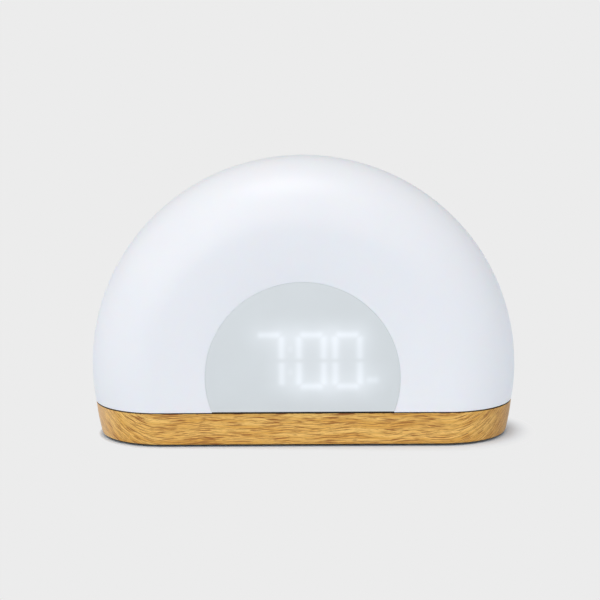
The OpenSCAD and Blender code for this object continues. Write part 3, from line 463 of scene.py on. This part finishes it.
# Extruded sheet has a faint unevenness of a few centimetres, which the satin face keeps soft
UNEVENNESS = 18 * MM
uneven = add_node(tree, "TexNoise", {"Vector": place, "Scale": 1 / UNEVENNESS, "Detail": 2.0})[0]
tint = add_node(tree, "Mix", {0: uneven, 6: "#d6dadc", 7: "#dadfe1"}, data_type="RGBA")[2]
sheet = add_node(tree, "BsdfPrincipled", {
    "Base Color": tint, "Roughness": 0.34, "IOR": 1.49, "Emission Color": "#f1f4ff",
    "Emission Strength": shine})[0]
add_node(tree, "OutputMaterial", {"Surface": sheet})

points, faces = window_plate(window_high.y, window_low.y)
settle(put_mesh("display_window", points, faces, smoke), "clock", "window_plastic", "window")

# ----------------------------------------------------------------------
# Base shell
# A ring of ABS, 2.4 mm thick, covered with a printed oak film whose grain runs along the front
# and sweeps up round the ends. It is clamped between the deck and the bottom cover.
# ----------------------------------------------------------------------
base_low, base_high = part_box("base_shell")
cover_low, cover_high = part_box("bottom_cover")
inlet_low, inlet_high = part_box("power_inlet")
BASE_DROP = 7.3 * MM
BASE_INSET = HALF_DEPTH - base_high.y
BASE_MIDDLE = AXIS_HEIGHT - BASE_DROP
BASE_WALL = 2.4 * MM
FOOT_EDGE = 0.7 * MM
TOP_EDGE = 0.25 * MM
DECK_EDGE = 1.1 * MM
LIP_HEIGHT = 4.0 * MM
DECK_THICKNESS = 1.6 * MM
DECK_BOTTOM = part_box("base_deck")[1].z - LIP_HEIGHT - DECK_THICKNESS
COVER_THICKNESS = 2.0 * MM
COVER_CLEARANCE = 0.15 * MM
COVER_TOP = cover_low.z + COVER_THICKNESS
LEDGE_THICKNESS = 2.0 * MM
LEDGE_WIDTH = 1.8 * MM
BEND_POINTS = 34
SIDE_POINTS = 25
EDGE_STEPS = 4
WALL_STEPS = 11
# The film starts halfway up the foot's rounding and ends past the top edge's, in rows of faces
FILM_START = EDGE_STEPS // 2
FILM_END = 2 * EDGE_STEPS + WALL_STEPS


def whole_outline(bend):
    """A closed outline, seen from above, out of the bend of its back right quarter: a straight side
    runs up to the bend, and the quarter is mirrored to the other three."""
    straight = np.linspace(0, bend[0, 0], SIDE_POINTS + 1)[:-1]
    side = np.stack([straight, np.full(SIDE_POINTS, bend[0, 1])], axis=1)
    quarter = np.concatenate([side, bend])
    right = np.concatenate([quarter, quarter[-2::-1] * (1, -1)])
    return np.concatenate([right, right[-2:0:-1] * (-1, 1)])


def base_outline(inset, z):
    """The base's outline at a height: y = b cos a, r = flat + b sin a and x = sqrt(r^2 - drop^2),
    where b is half the depth less the inset and drop is how far the height lies below the middle
    of the base's form."""
    width = HALF_DEPTH - inset
    angle = np.linspace(0, math.pi / 2, BEND_POINTS)
    radius = FLAT_RADIUS + width * np.sin(angle)
    across = np.sqrt(radius ** 2 - (BASE_MIDDLE - z) ** 2)
    return whole_outline(np.stack([across, width * np.cos(angle)], axis=1))


def cover_outline(half_length, half_width):
    """Straight sides with half circles at the ends: x = length - width (1 - sin a) and
    y = width cos a."""
    angle = np.linspace(0, math.pi / 2, BEND_POINTS)
    across = half_length - half_width * (1 - np.sin(angle))
    return whole_outline(np.stack([across, half_width * np.cos(angle)], axis=1))


def bored(piece, tool):
    """Cuts a closed tool out of a piece, keeps the result as its mesh and removes the tool."""
    cut = piece.modifiers.new("bore", "BOOLEAN")
    cut.object = tool
    cut.solver = "EXACT"
    bpy.context.view_layer.update()
    result = bpy.data.meshes.new_from_object(
        piece.evaluated_get(bpy.context.evaluated_depsgraph_get()))
    piece.modifiers.clear()
    piece.data = result
    bpy.data.objects.remove(tool)


def round_piece(profile, centre, axis, steps=64):
    """Turns a line of (radius, height) about a vertical axis, or about one along Y through (x, z),
    and closes its two ends with flat faces. The line has its outside on the right about a vertical
    axis, and on the left about one along Y."""
    profile = np.asarray(profile, float)
    angle = np.linspace(0, 2 * math.pi, steps, endpoint=False)[None, :]
    radius, height = profile[:, :1], profile[:, 1:] + 0 * angle
    across, beside = centre[0] + radius * np.cos(angle), centre[1] + radius * np.sin(angle)
    places = [across, beside, height] if axis == "Z" else [across, height, beside]
    faces = grid_faces(len(profile), steps, close_columns=True)
    first, last = list(range(steps)), [(len(profile) - 1) * steps + i for i in range(steps)]
    faces += [first[::-1], last]
    return np.stack(places, axis=-1).reshape(-1, 3), faces


# The wall's outside from the foot up, its top and its inside down to the cover's ledge
wall_line = join_points(
    arc((BASE_INSET + FOOT_EDGE, base_low.z + FOOT_EDGE), FOOT_EDGE, -90, -180, EDGE_STEPS + 1),
    [(BASE_INSET, z)
     for z in np.linspace(base_low.z + FOOT_EDGE, base_high.z - TOP_EDGE, WALL_STEPS + 1)[1:-1]],
    arc((BASE_INSET + TOP_EDGE, base_high.z - TOP_EDGE), TOP_EDGE, 180, 90, EDGE_STEPS + 1),
    [(BASE_INSET + DECK_EDGE, base_high.z), (BASE_INSET + DECK_EDGE, DECK_BOTTOM),
     (BASE_INSET + BASE_WALL, DECK_BOTTOM), (BASE_INSET + BASE_WALL, COVER_TOP + LEDGE_THICKNESS)])
rows = [(base_outline(inset, z), z) for inset, z in wall_line]
ledge = cover_outline(cover_high.x - LEDGE_WIDTH, cover_high.y - LEDGE_WIDTH)
room_for_cover = cover_outline(cover_high.x + COVER_CLEARANCE, cover_high.y + COVER_CLEARANCE)
rows += [(ledge, COVER_TOP + LEDGE_THICKNESS), (ledge, COVER_TOP), (room_for_cover, COVER_TOP),
         (room_for_cover, base_low.z)]
points = np.concatenate([np.column_stack([line, np.full(len(line), z)]) for line, z in rows])
count = len(rows[0][0])
faces = grid_faces(len(rows), count, close_rows=True, close_columns=True, flip=True)
row_of_face = np.arange(len(faces)) // count
# Rows of bare dark ABS, which also serve as painted shade in the seam's gap and at the foot
bare_abs_and_shade = (row_of_face < FILM_START) | (row_of_face >= FILM_END)

# Each figure of the grain has a length along the board, a width in its layer and a thickness
GROWTH = (34 * MM, 16 * MM, 1.1 * MM)
STROKES = (9 * MM, 5 * MM, 0.17 * MM)
VEINS = (26 * MM, 12 * MM, 1.1 * MM)
PORES = (3 * MM, 3 * MM, 0.17 * MM)
SWAY = (18 * MM, 50 * MM, 50 * MM)
SWAY_DEPTH = 1.8 * MM
LAYER_LEAN = math.radians(55)
# Oak, printed on a film and pressed on under a satin lacquer: golden brown growth layers with
# fine dark strokes, veins and pores. The layers lean back into the base, so that they run level
# on the front and climb at both ends
oak, tree, place = start_material("oak_film_on_abs")
sway = add_node(tree, "Mapping", {"Vector": place, "Scale": SWAY}, vector_type="TEXTURE")[0]
sway = add_node(tree, "TexNoise", {"Vector": sway, "Scale": 1.0, "Detail": 1.5})["Color"]
swayed = add_node(tree, "VectorMath", (sway, (0, SWAY_DEPTH, SWAY_DEPTH), place),
                  operation="MULTIPLY_ADD")[0]


def grain(figure, detail):
    """Noise drawn out to a figure of the oak's grain, in layers that lean back."""
    layers = add_node(tree, "Mapping", {
        "Vector": swayed, "Rotation": (LAYER_LEAN, 0, 0), "Scale": figure}, vector_type="TEXTURE")[0]
    return add_node(tree, "TexNoise", {"Vector": layers, "Scale": 1.0, "Detail": detail})[0]


growth = add_node(tree, "MapRange", {
    "Value": grain(GROWTH, 4.0), "From Min": 0.38, "From Max": 0.62})[0]
board = add_node(tree, "Mix", {0: growth, 6: "#dfa748", 7: "#f5c66b"}, data_type="RGBA")[2]
stroke = add_node(tree, "MapRange", {
    "Value": grain(STROKES, 1.0), "From Min": 0.54, "From Max": 0.61})[0]
# A vein follows the line where its noise passes through 0.5
off_vein = add_node(tree, "Math", (grain(VEINS, 1.0), 0.5), operation="SUBTRACT")[0]
off_vein = add_node(tree, "Math", (off_vein,), operation="ABSOLUTE")[0]
# The print is painted paler round the left end, as a painted sheen of the light from the left,
# and darker towards the right one, as painted shade
along = add_node(tree, "SeparateXYZ", (place,))["X"]
# What lies over the growth layers: the value at which it begins and that at which it is full, the
# share that it then takes, and its colour
for value, begins, full, share, colour in (
        (grain(PORES, 2.0), 0.54, 0.66, 0.6, "#a86f24"), (off_vein, 0.022, 0.008, 0.35, "#9a5c16"),
        (stroke, 0.0, 1.0, 1.0, "#9a5c16"), (along, -86 * MM, -98 * MM, 0.4, "#efc79c"),
        (along, 78 * MM, 96 * MM, 0.4, "#a06c30")):
    laid = add_node(tree, "MapRange", {
        "Value": value, "From Min": begins, "From Max": full, "To Max": share})[0]
    board = add_node(tree, "Mix", {0: laid, 6: board, 7: colour}, data_type="RGBA")[2]
relief = add_node(tree, "Bump", {"Height": stroke, "Strength": 0.25, "Distance": 0.04 * MM},
                  invert=True)[0]
film = add_node(tree, "BsdfPrincipled", {
    "Base Color": board, "Roughness": 0.42, "IOR": 1.5, "Normal": relief})[0]
add_node(tree, "OutputMaterial", {"Surface": film})

PLASTIC_SPREAD = 0.06


def moulded_plastic(name, low, high, roughness, marks, depth, ior=1.53):
    """A moulded plastic's material: noise with marks of one size shades it between two colours,
    lifts its surface by the depth and makes it rougher in the hollows."""
    material, tree, place = start_material(name)
    eroded = add_node(tree, "TexNoise", {"Vector": place, "Scale": 1 / marks, "Detail": 3.0})[0]
    tint = add_node(tree, "Mix", {0: eroded, 6: low, 7: high}, data_type="RGBA")[2]
    matt = add_node(tree, "MapRange", {
        "Value": eroded, "To Min": roughness + PLASTIC_SPREAD, "To Max": roughness - PLASTIC_SPREAD})[0]
    relief = add_node(tree, "Bump", {"Height": eroded, "Strength": 0.5, "Distance": depth})[0]
    shader = add_node(tree, "BsdfPrincipled", {
        "Base Color": tint, "Roughness": matt, "IOR": ior, "Normal": relief})[0]
    add_node(tree, "OutputMaterial", {"Surface": shader})
    return material


# The film is trimmed at the seam and under the foot, where the bare ABS shows: nearly black brown
# and matt. There it also darkens the seam's gap and the foot's contact line as painted shade.
# Spark erosion leaves marks of 0.1 to 0.2 mm; they are drawn at 0.5 mm so that they show
ERODED = 0.5 * MM
dark_abs = moulded_plastic("dark_abs", "#1d1714", "#2a221d", 0.6, ERODED, 0.03 * MM)
base_ring = put_mesh("base_ring", points, faces, oak, dark_abs, second=bare_abs_and_shade)

# The plug's hole goes through the back wall, with its edge broken outside
SOCKET_RADIUS = 3.15 * MM
SOCKET_RISE = 0.4 * MM
SOCKET_HEIGHT = (inlet_low.z + inlet_high.z) / 2 + SOCKET_RISE
HOLE_PLAY = 1.0 * MM
HOLE_RADIUS = SOCKET_RADIUS + HOLE_PLAY
HOLE_EDGE = 0.4 * MM
HOLE_DEPTH = 4 * MM
drill = [(HOLE_RADIUS + 2 * HOLE_EDGE, base_high.y + HOLE_EDGE),
         (HOLE_RADIUS, base_high.y - HOLE_EDGE), (HOLE_RADIUS, base_high.y - HOLE_DEPTH)]
points, faces = round_piece(drill, (0, SOCKET_HEIGHT), "Y")
bored(base_ring, put_mesh("socket_drill", points, faces, oak, dark_abs, second=np.ones(len(faces))))
settle(base_ring, "clock", "wood_look_plastic", "base_shell")

# ----------------------------------------------------------------------
# Base deck, bottom cover and coin cell door
# Dark brown ABS mouldings, spark eroded to a fine matt face. The deck closes the base under the
# lamp and shows as the dark line of the seam; cover and door close it from below.
# ----------------------------------------------------------------------


def finish(material, *nodes):
    """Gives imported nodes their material, through the slots of their objects."""
    for node in nodes:
        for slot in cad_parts[node].material_slots:
            slot.link = "OBJECT"
            slot.material = material


finish(dark_abs, "base_deck", "bottom_cover", "battery_door")

# ----------------------------------------------------------------------
# Feet
# Four discs of black moulded rubber, let half a millimetre into the cover and glued there. Their
# lower edge is rounded and a shallow groove runs round each face.
# ----------------------------------------------------------------------
feet_low, feet_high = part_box("feet")
FOOT_RADIUS = 6.0 * MM
FOOT_ROUND = 0.4 * MM
FOOT_CORE = 1.5 * MM
GROOVE_RADIUS = 3.9 * MM
GROOVE_DEPTH = 0.25 * MM
GROOVE_HALF_MOUTH = 0.5 * MM
GROOVE_HALF_FLOOR = 0.2 * MM


def foot_profile():
    """A foot's half section from its face's middle outwards and up: groove, rounded edge, side and
    top."""
    face, deep = feet_low.z, feet_low.z + GROOVE_DEPTH
    groove = [(GROOVE_RADIUS - GROOVE_HALF_MOUTH, face), (GROOVE_RADIUS - GROOVE_HALF_FLOOR, deep),
              (GROOVE_RADIUS + GROOVE_HALF_FLOOR, deep), (GROOVE_RADIUS + GROOVE_HALF_MOUTH, face)]
    edge = arc((FOOT_RADIUS - FOOT_ROUND, face + FOOT_ROUND), FOOT_ROUND, -90, 0, steps=6)
    return join_points([(FOOT_CORE, face)], groove, edge, [(FOOT_RADIUS, feet_high.z)])


def merge(parts):
    """One list of points and faces out of several, with the faces' numbers moved on."""
    points, faces = [], []
    for part_points, part_faces in parts:
        start = sum(map(len, points))
        points.append(np.asarray(part_points, float).reshape(-1, 3))
        faces += [[i + start for i in face] for face in part_faces]
    return np.concatenate(points), faces


# Moulded natural rubber: nearly black, dull, and slightly uneven from the mould
rubber = moulded_plastic("moulded_rubber", "#161618", "#232326", 0.75, 0.8 * MM, 0.03 * MM, 1.52)
foot_x, foot_y = feet_high.x - FOOT_RADIUS, feet_high.y - FOOT_RADIUS
places = [(side * foot_x, row * foot_y) for side in (-1, 1) for row in (-1, 1)]
points, faces = merge([round_piece(foot_profile(), spot, "Z") for spot in places])
settle(put_mesh("rubber_feet", points, faces, rubber), "clock", "rubber", "feet")

# ----------------------------------------------------------------------
# Rear panel
# A white ABS disc with a fine matt face, 1.2 mm below the rear shade's, with round holes for the
# buttons and the sound. Four screws hold it to the core.
# ----------------------------------------------------------------------
panel_abs = moulded_plastic("white_abs_matt", "#dde1e6", "#e9ecf0", 0.5, ERODED, 0.03 * MM)
finish(panel_abs, "rear_panel")

# ----------------------------------------------------------------------
# Buttons
# Six caps of white ABS with a softly dished face and a raised, pad-printed symbol: light, alarm,
# sound, clock, minus and plus. A flange behind the panel keeps each one in.
# ----------------------------------------------------------------------
CAP_EDGE = 0.35 * MM
CAP_DISH_RADIUS = 25.0 * MM
CAP_DISH_DEPTH = 0.3 * MM
CAP_CORE = 0.2 * MM
FLANGE_STEP = 0.9 * MM
FLANGE_GAP = 0.2 * MM
FLANGE_THICKNESS = 1.0 * MM
PLUNGER_RADIUS = 1.5 * MM
SYMBOL_LOW = 0.45 * MM
SYMBOL_TOP = 0.08 * MM
# The symbols are drawn in millimetres, as they are seen from behind the clock
STROKE = 0.36
SIGN_STROKE = 0.5


def cap_profile(low, high):
    """A cap's half section about its axis, from the dish's middle to the plunger's end: the dish is
    a circle of 25 mm, its edge a small quarter round, then come the side, the flange and the
    plunger."""
    flange = (high.x - low.x) / 2
    cap = flange - FLANGE_STEP
    rear = PANEL_INSIDE - FLANGE_GAP
    radius = np.linspace(CAP_CORE, cap - CAP_EDGE, 12)
    rise = CAP_DISH_RADIUS - np.sqrt(CAP_DISH_RADIUS ** 2 - radius ** 2)
    dish_y = high.y - CAP_DISH_DEPTH + rise
    edge = arc((cap - CAP_EDGE, dish_y[-1] - CAP_EDGE), CAP_EDGE, 80, 0, steps=6)
    return join_points(np.stack([radius, dish_y], axis=1), edge, [
        (cap, rear), (flange, rear), (flange, rear - FLANGE_THICKNESS),
        (PLUNGER_RADIUS, rear - FLANGE_THICKNESS), (PLUNGER_RADIUS, low.y)])


def prism(outline, centre, tip):
    """A symbol's outline as a raised slab on a cap."""
    flat = np.asarray(outline, float) * MM * (-1, 1) + (centre[0], centre[1])
    count = len(flat)
    rows = [np.stack([flat[:, 0], np.full(count, tip - depth), flat[:, 1]], axis=1)
            for depth in (SYMBOL_LOW, SYMBOL_TOP)]
    area = np.sum(flat[:, 0] * np.roll(flat[:, 1], -1) - flat[:, 1] * np.roll(flat[:, 0], -1))
    faces = grid_faces(2, count, close_columns=True, flip=area > 0)
    ends = [list(range(count)), [count + i for i in range(count)][::-1]]
    return np.concatenate(rows), faces + (ends if area > 0 else [end[::-1] for end in ends])


def strip(points, width=STROKE):
    """A line of points given a width: each moved to both sides along the line's normal there."""
    points = np.asarray(points, float)
    along = np.gradient(points, axis=0)
    along /= np.linalg.norm(along, axis=1)[:, None]
    normal = np.stack([-along[:, 1], along[:, 0]], axis=1) * width / 2
    return np.concatenate([points + normal, (points - normal)[::-1]])


def ring_parts(centre, radius):
    """A ring as two half turns, a hair apart, so that each is a plain slab."""
    return [strip(arc(centre, radius, start, start + 178, steps=20)) for start in (0, 180)]


def ray(angle, inner, outer):
    """A short stroke that points away from the middle, at an angle in degrees."""
    direction = np.array([math.cos(math.radians(angle)), math.sin(math.radians(angle))])
    return strip([direction * inner, direction * outer])


def plus_outline(reach, half_stroke):
    """A cross of two strokes: the left arm's end and the inner corner below it, and the same turned
    three times by a quarter, (x, y) to (-y, x)."""
    arms = [np.array([(-reach, half_stroke), (-reach, -half_stroke), (-half_stroke, -half_stroke)])]
    for _ in range(3):
        arms.append(arms[-1][:, ::-1] * (-1, 1))
    return np.concatenate(arms)


BELL_FOOT = [(-1.05, -0.75), (-1.45, -1.05), (1.45, -1.05), (1.05, -0.75)]
HORN = [(-1.6, -0.5), (-0.95, -0.5), (-0.15, -1.25), (-0.15, 1.25), (-0.95, 0.5), (-1.6, 0.5)]
SYMBOLS = {
    "light": [arc((0, 0), 0.72, 0, 345, 24),
              *[ray(angle, 1.15, 1.75) for angle in range(0, 360, 45)]],
    "alarm": [join_points(arc((0, 0.35), 1.0, 0, 180, 16), BELL_FOOT),
              arc((0, -1.25), 0.42, 180, 360, 10), arc((0, 1.55), 0.22, 0, 330, 10)],
    "sound": [HORN, strip(arc((0, 0), 0.75, -45, 45, 10)), strip(arc((0, 0), 1.4, -45, 45, 14))],
    "clock": [*ring_parts((0, 0), 1.5), strip([(0, 0.9), (0, 0)]),
              strip([(-0.05, 0), (0.75, -0.45)])],
    "minus": [strip([(-1.3, 0), (1.3, 0)], SIGN_STROKE)],
    "plus": [plus_outline(1.3, SIGN_STROKE / 2)],
}

# The caps are a shade whiter and smoother than the panel, and the print on them is a soft grey
cap_plastic = moulded_plastic("white_abs_satin", "#eceef1", "#f4f5f7", 0.35, ERODED, 0.01 * MM)
symbol_ink = moulded_plastic("grey_print", "#7d8288", "#8b9096", 0.5, 0.3 * MM, 0.005 * MM)
for key, symbol in SYMBOLS.items():
    low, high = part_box(key + "_button")
    centre = ((low.x + high.x) / 2, (low.z + high.z) / 2)
    cap = round_piece(cap_profile(low, high), centre, "Y", steps=48)
    points, faces = merge([cap] + [prism(outline, centre, high.y) for outline in symbol])
    inked = np.arange(len(faces)) >= len(cap[1])
    piece = put_mesh(key + "_cap", points, faces, cap_plastic, symbol_ink, second=inked, crease=40)
    settle(piece, key + "_key", "button_plastic", key + "_button")

# ----------------------------------------------------------------------
# Screws
# Pan-head steel screws with a cross recess, zinc plated and bright: they hold the case, the
# shades, the core, the panel, the boards, the speaker and the coin cell's door.
# ----------------------------------------------------------------------
METAL_SPREAD = 0.1
STREAK_SHAPE = (6, 1, 1)


def plated_metal(name, low, high, roughness, streak):
    """A plated metal's material: fine scratches, six times as long as wide, vary its colour and its
    roughness."""
    material, tree, place = start_material(name)
    drawn = add_node(tree, "Mapping", {"Vector": place, "Scale": [streak * n for n in STREAK_SHAPE]},
                     vector_type="TEXTURE")[0]
    marks = add_node(tree, "TexNoise", {"Vector": drawn, "Scale": 1.0, "Detail": 4.0})[0]
    tint = add_node(tree, "Mix", {0: marks, 6: low, 7: high}, data_type="RGBA")[2]
    matt = add_node(tree, "MapRange", {
        "Value": marks, "To Min": roughness + METAL_SPREAD, "To Max": roughness - METAL_SPREAD})[0]
    shader = add_node(tree, "BsdfPrincipled", {
        "Base Color": tint, "Metallic": 1.0, "Roughness": matt})[0]
    add_node(tree, "OutputMaterial", {"Surface": shader})
    return material


# Bright zinc over steel: a bluish grey metal, satin from its fine scratches
zinc = plated_metal("zinc_plated_steel", "#b4b7ba", "#d3d5d7", 0.32, 0.12 * MM)
finish(zinc, "case_screws", "shade_screws", "core_screws", "display_screws", "panel_screws",
       "board_screws", "speaker_screws", "main_board_screws", "door_screw")

# ----------------------------------------------------------------------
# Core housing, light strip and lights
# The core is a round drum of white ABS that carries the display, the lights and the rear panel.
# A white flexible strip is stuck round its arch with nineteen warm white lights on it.
# ----------------------------------------------------------------------
# The core's ABS is unseen behind the panel: greyer than it and more matt
core_abs = moulded_plastic("white_abs_core", "#d9dcdf", "#e4e6e8", 0.55, ERODED, 0.03 * MM)
finish(core_abs, "core_housing")
# The strip's coverlay is a smooth white film that lies a little wavy
coverlay = moulded_plastic("white_coverlay", "#e6e7e4", "#f0f0ee", 0.45, 1.2 * MM, 0.01 * MM)
finish(coverlay, "light_strip")
# Each light is a ceramic-white package with a yellow phosphor gel in its middle
phosphor = moulded_plastic("phosphor_gel", "#f1dc94", "#fbf3d4", 0.3, 1.6 * MM, 0.02 * MM, 1.41)
finish(phosphor, "lights")

# ----------------------------------------------------------------------
# Light seal and diffuser film
# A ring of black closed-cell foam keeps the lamp's light off the display. A frosted polyester
# film lies behind the window and blurs the bars.
# ----------------------------------------------------------------------
FOAM_CELL = 0.4 * MM
# Closed-cell foam: round pits with thin walls between, black and quite dull
foam, tree, place = start_material("closed_cell_foam")
cells = add_node(tree, "TexVoronoi", {"Vector": place, "Scale": 1 / FOAM_CELL})["Distance"]
tint = add_node(tree, "Mix", {0: cells, 6: "#1d1d1e", 7: "#0d0d0e"}, data_type="RGBA")[2]
relief = add_node(tree, "Bump", {"Height": cells, "Strength": 0.8, "Distance": 0.1 * MM})[0]
shader = add_node(tree, "BsdfPrincipled", {
    "Base Color": tint, "Roughness": 0.9, "IOR": 1.5, "Normal": relief})[0]
add_node(tree, "OutputMaterial", {"Surface": shader})
finish(foam, "light_seal", "speaker_gasket")
# Frosted polyester scatters the light, so it looks pale grey and matt
frosted = moulded_plastic("frosted_polyester", "#dfe4e7", "#e9edef", 0.6, 0.4 * MM, 0.01 * MM, 1.57)
finish(frosted, "diffuser_film")

# ----------------------------------------------------------------------
# Display
# A grey block with light wells, closed with clear epoxy bars: those of 7, 0, 0 and the afternoon
# mark are lit and the rest are dark. It is soldered to the display board.
# ----------------------------------------------------------------------
EPOXY_CLOUDS = 0.8 * MM
# Grey-filled polycarbonate: matt, and only a little darker than the unlit bars
block = moulded_plastic("grey_polycarbonate", "#b3bbc0", "#bdc5c9", 0.5, ERODED, 0.02 * MM, 1.58)
finish(block, "digit_block")
# Clear epoxy is smooth: unlit it shows the grey behind it, and lit it glows a cool white
unlit = moulded_plastic("clear_epoxy_unlit", "#c6cbce", "#cdd2d4", 0.3, EPOXY_CLOUDS, 0.01 * MM,
                        1.55)
finish(unlit, "dark_bars")
lit_epoxy, tree, place = start_material("clear_epoxy_lit")
filler = add_node(tree, "TexNoise", {"Vector": place, "Scale": 1 / EPOXY_CLOUDS, "Detail": 2.0})[0]
tint = add_node(tree, "Mix", {0: filler, 6: "#eaf3ff", 7: "#f6fbff"}, data_type="RGBA")[2]
shader = add_node(tree, "BsdfPrincipled", {
    "Base Color": tint, "Roughness": 0.3, "IOR": 1.55, "Emission Color": tint,
    "Emission Strength": 2.0})[0]
add_node(tree, "OutputMaterial", {"Surface": shader})
finish(lit_epoxy, "lit_bars")

# ----------------------------------------------------------------------
# Circuit boards and their parts
# Glass-fibre boards with green solder mask over copper tracks; on them sit moulded chips,
# sleeved capacitors, ivory plugs and the push switches.
# ----------------------------------------------------------------------
TRACK_PITCH = 2.54 * MM
WEAVE = 0.5 * MM
# Solder mask: satin green, paler and a little raised where copper lies under it
board_mask, tree, place = start_material("solder_mask_on_glass_fibre")
tracks = add_node(tree, "TexVoronoi", {"Vector": place, "Scale": 1 / TRACK_PITCH, "Randomness": 0.7},
                  distance="CHEBYCHEV", feature="F1")["Distance"]
copper = add_node(tree, "MapRange", {"Value": tracks, "From Min": 0.36, "From Max": 0.42})[0]
weave = add_node(tree, "TexNoise", {"Vector": place, "Scale": 1 / WEAVE, "Detail": 2.0})[0]
tint = add_node(tree, "Mix", {0: weave, 6: "#24553a", 7: "#2b5f41"}, data_type="RGBA")[2]
tint = add_node(tree, "Mix", {0: copper, 6: tint, 7: "#3a7a52"}, data_type="RGBA")[2]
relief = add_node(tree, "Bump", {"Height": copper, "Strength": 0.4, "Distance": 0.035 * MM})[0]
shader = add_node(tree, "BsdfPrincipled", {
    "Base Color": tint, "Roughness": 0.35, "IOR": 1.54, "Normal": relief})[0]
add_node(tree, "OutputMaterial", {"Surface": shader})
finish(board_mask, "display_board", "button_board", "main_board")
# Moulding compound is nearly black, matt and fine grained
chip = moulded_plastic("epoxy_moulding_compound", "#202123", "#2a2b2d", 0.5, 0.3 * MM, 0.02 * MM,
                       1.55)
finish(chip, "main_chips", "switch_bodies")
# Shrunk vinyl is dark blue grey with a soft shine, and nylon a warm ivory
sleeve = moulded_plastic("vinyl_sleeve", "#262a33", "#30343e", 0.3, 0.9 * MM, 0.01 * MM)
finish(sleeve, "capacitors")
ivory = moulded_plastic("ivory_nylon", "#e5e0cd", "#efeadb", 0.45, 0.5 * MM, 0.02 * MM)
finish(ivory, "connectors")
# Acetal slides well and looks smooth, black and a little waxy
acetal = moulded_plastic("black_acetal", "#1b1c1e", "#242527", 0.4, 0.4 * MM, 0.01 * MM, 1.48)
finish(acetal, *[key + "_switch_stem" for key in SYMBOLS])

# ----------------------------------------------------------------------
# Cables
# Flat grey ribbons join the boards, and pairs of vinyl-covered wires run to the lights and to
# the speaker.
# ----------------------------------------------------------------------
WIRE_PITCH = 1.27 * MM
WIRE_MARKS = 0.7 * MM
# A wave pattern of scale 1 repeats every pi / 10: here once for each of the ribbon's round wires
ribbon, tree, place = start_material("ribbon_cable_vinyl")
ribs = add_node(tree, "TexWave", {"Vector": place, "Scale": math.pi / 10 / WIRE_PITCH},
                bands_direction="X")[1]
# The tint follows the ribs: lighter on each wire's crest, and painted shade in the grooves between
tint = add_node(tree, "Mix", {0: ribs, 6: "#bdbdb4", 7: "#dadad2"}, data_type="RGBA")[2]
relief = add_node(tree, "Bump", {"Height": ribs, "Strength": 0.8, "Distance": 0.2 * MM})[0]
shader = add_node(tree, "BsdfPrincipled", {
    "Base Color": tint, "Roughness": 0.45, "IOR": 1.53, "Normal": relief})[0]
add_node(tree, "OutputMaterial", {"Surface": shader})
finish(ribbon, "display_ribbon", "button_ribbon")
# The wires' vinyl is satin, in a plain colour for each pair
for colour, low, high, wires in (("yellow", "#c29a31", "#cfa83f", "light_wires"),
                                 ("red", "#a9362b", "#b7443a", "speaker_wires")):
    vinyl = moulded_plastic(colour + "_wire_vinyl", low, high, 0.4, WIRE_MARKS, 0.02 * MM)
    finish(vinyl, wires)

# ----------------------------------------------------------------------
# Speaker
# A zinc-plated steel basket with a pressed paper cone, a rubber surround and a ferrite magnet,
# screwed behind the sound holes with a foam ring between.
# ----------------------------------------------------------------------
finish(zinc, "speaker_frame")
finish(rubber, "speaker_surround")
# Pressed paper pulp is dark, uneven and without shine
pulp = moulded_plastic("pressed_paper", "#1c1b1a", "#2b2a28", 0.85, 0.35 * MM, 0.06 * MM, 1.5)
finish(pulp, "speaker_cone")
# Sintered ferrite is a dark grey, grainy ceramic
ferrite = moulded_plastic("sintered_ferrite", "#2a2a2c", "#38383a", 0.6, 0.25 * MM, 0.03 * MM, 2.0)
finish(ferrite, "speaker_magnet")

# ----------------------------------------------------------------------
# Power socket and coin cell
# The socket is a black nylon block with a nickel-plated pin and leaf. The coin cell keeps the
# time in a black holder with a spring contact.
# ----------------------------------------------------------------------
# Black nylon has a soft shine. Nickel is bright: warm over brass, neutral over steel
nylon = moulded_plastic("black_nylon", "#17181a", "#222325", 0.4, 0.4 * MM, 0.02 * MM)
finish(nylon, "power_inlet", "cell_holder")
plated_brass = plated_metal("nickel_plated_brass", "#c3c0b6", "#dcd9d0", 0.25, 0.1 * MM)
finish(plated_brass, "inlet_pin", "inlet_leaf", "cell_spring")
plated_can = plated_metal("nickel_plated_steel", "#bdbdbb", "#d8d8d6", 0.3, 0.15 * MM)
finish(plated_can, "coin_cell")
